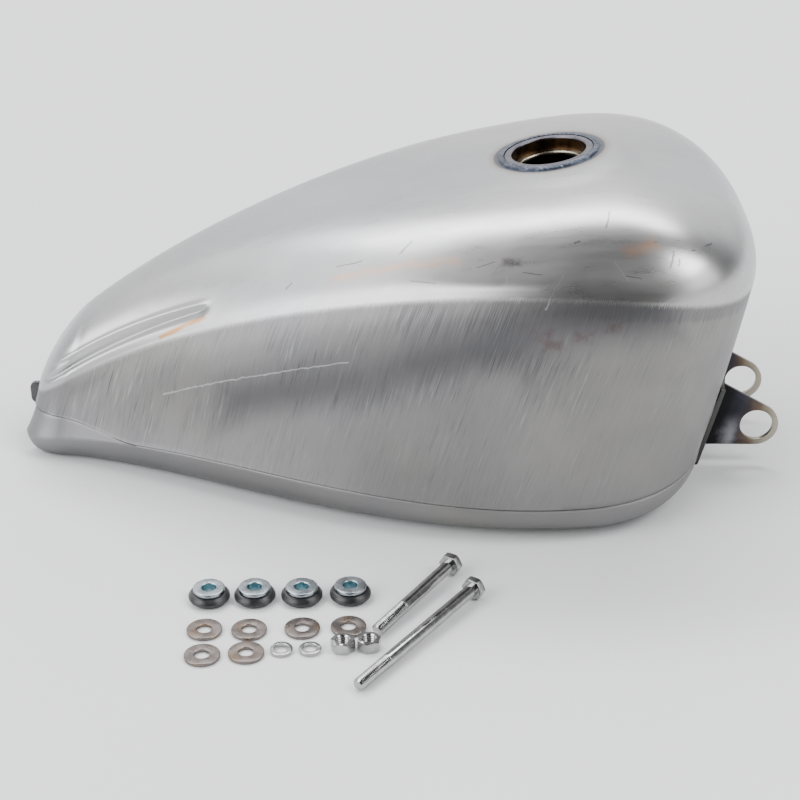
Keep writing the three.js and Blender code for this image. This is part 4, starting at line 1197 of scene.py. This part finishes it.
def dress(obj, look_names, body, nodes, choose=None):
    """Gives a piece its finish, its body and the nodes that it stands for."""
    obj.data.materials.clear()
    for name in look_names:
        obj.data.materials.append(looks[name])
    index = [choose(face) if choose else 0 for face in obj.data.polygons]
    obj.data.polygons.foreach_set("material_index", index)
    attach(obj, body)
    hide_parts(*nodes)
    return obj


def neck_part(face):
    """0 for the rim and outside, 1 for the bore's wall and 2 for the ledge."""
    centre = (np.array(face.center) / MM - SHIFT) - FILLER
    depth = float(centre @ FILLER_UP)
    radius = math.hypot(float(centre @ FILLER_OUT), float(centre @ FILLER_SIDE))
    if radius < NECK_BORE_R - 0.8:
        return 2
    return 1 if radius < NECK_BORE_R + 0.6 and depth < NECK_LIP - 0.9 else 0


def bush_part(centre):
    """0 for a bush's outside and 1 for its bore."""
    def choose(face):
        offset = np.array(face.center)[:2] / MM - SHIFT[:2] - np.array(centre)
        return 1 if math.hypot(*offset) < BUSH_BORE_R + 0.15 else 0
    return choose


dress(upper_shell(), ["steel"], "tank", ["upper_shell"])
for side, name in ((-1, "right"), (1, "left")):
    dress(pan(side, f"bottom_pan_{name}_look"), ["pan"], "tank", [f"bottom_pan_{name}"])
    dress(front_ear(side, f"front_ear_{name}_look"), ["ear"], "tank", [f"front_ear_{name}"])
whole = whole_skin("whole")
whole_tree = tree_of(whole)
for side, name in ((-1, "right"), (1, "left")):
    dress(ear_weld(side, f"front_ear_weld_{name}_look", whole_tree), ["ear_weld"], "tank",
          [f"front_ear_weld_{name}"])
dress(filler_weld(whole_tree), ["neck_weld"], "tank", ["filler_weld"])
bpy.data.objects.remove(whole)
dress(tunnel(), ["pan"], "tank", ["tunnel"])
dress(filler_neck(), ["rim", "wall", "ledge"], "tank", ["filler_neck"], neck_part)
dress(petcock_bung(), ["ledge"], "tank", ["petcock_bung"])
dress(rear_bracket(), ["black"], "tank", ["rear_mount_bracket"])

for i in range(1, 5):
    name = f"rubber_mount_{i}"
    dress(rubber_mount(name), ["rubber"], name, [name])
    name = f"flanged_bush_{i}"
    dress(flanged_bush(name), ["zinc", "zinc_bore"], name, [name], bush_part(middle_of(name)))
for i in range(1, 7):
    name = f"flat_washer_{i}"
    dress(flat_washer(name), ["washer"], name, [name])
for i, split in enumerate(LOCK_WASHER_TURNS, 1):
    name = f"lock_washer_{i}"
    dress(lock_washer(name, split), ["bright"], name, [name])
for i, turn in enumerate(NUT_TURNS, 1):
    name = f"hex_nut_{i}"
    dress(hex_nut(name, turn), ["bright"], name, [name])
for name, length, head, heading in BOLTS:
    dress(hex_bolt(name + "_look", length * INCH, head, heading), ["bright"], name, [name])


# ---- Floor, light and camera ----


def floor():
    places = np.linspace(-FLOOR_REACH, FLOOR_REACH, FLOOR_STEPS + 1)
    points = [(x, y, 0.0) for y in places for x in places]
    mesh = bpy.data.meshes.new("floor")
    mesh.from_pydata(points, [], grid_faces(FLOOR_STEPS + 1, FLOOR_STEPS + 1))
    obj = bpy.data.objects.new("floor", mesh)
    bpy.context.scene.collection.objects.link(obj)
    look = Look("pale_floor", Roughness=0.9)
    speckle = look.texture(look.position(), 3, detail=3)
    color = look.ramp(speckle, (0.3, (0.78, 0.78, 0.78)), (0.7, (0.81, 0.81, 0.81)))
    mesh.materials.append(look.finish(color))
    return obj


def studio():
    """A white studio by direction: soft boxes left, right and behind, and darker behind the viewer."""
    world = bpy.data.worlds.new("studio")
    world.use_nodes = True
    sky = Nodes(world.node_tree)
    x, y, z = sky.split(sky.add("TexCoord", output=0))
    degrees = 180 / math.pi
    height = sky.times(sky.math("ARCSINE", z), degrees)
    front = sky.times(sky.math("ARCTAN2", x, sky.times(y, -1)), degrees)
    back = sky.times(sky.math("ARCTAN2", x, y), degrees)
    level = sky.span(height, 22, 70, 1.3, 0.30)
    soft_boxes = (
        # direction, its two limits and softness, the lower and upper limit of height and softness, level
        (front, -30, 44, 8, 5, 100, 5, 0.12),
        (front, -150, -84, 10, 34, 58, 8, 3.4),
        (front, -80, -38, 7, 8, 54, 7, 6.5),
        (front, 96, 150, 6, 0, 100, 8, 0.25),
        (front, 60, 90, 6, 38, 66, 6, 12.0),
        (front, 54, 88, 7, 12, 38, 8, 3.0),
        (back, -58, 48, 12, 3, 44, 6, 1.8),
        (back, -58, 40, 12, 48, 60, 4, 14.0),
    )
    for heading, start, end, side_soft, low, high, soft, value in soft_boxes:
        part = sky.times(sky.window(heading, start, end, side_soft), sky.window(height, low, high, soft))
        level = sky.blend(part, level, value)
    shade = world.node_tree.nodes["Background"]
    shade.inputs[0].default_value = (0.97, 0.98, 1.0, 1)
    sky.put(shade.inputs[1], level)
    bpy.context.scene.world = world


floor().location.z = FLOOR_Z
studio()

lens = bpy.data.cameras.new("camera")
lens.sensor_width = CAMERA_SENSOR
lens.lens = CAMERA_LENS
camera = bpy.data.objects.new("camera", lens)
camera.location = row(CAMERA_PLACE)
camera.rotation_euler = (CAMERA_TILT, 0, CAMERA_TURN)
bpy.context.scene.collection.objects.link(camera)
bpy.context.scene.camera = camera
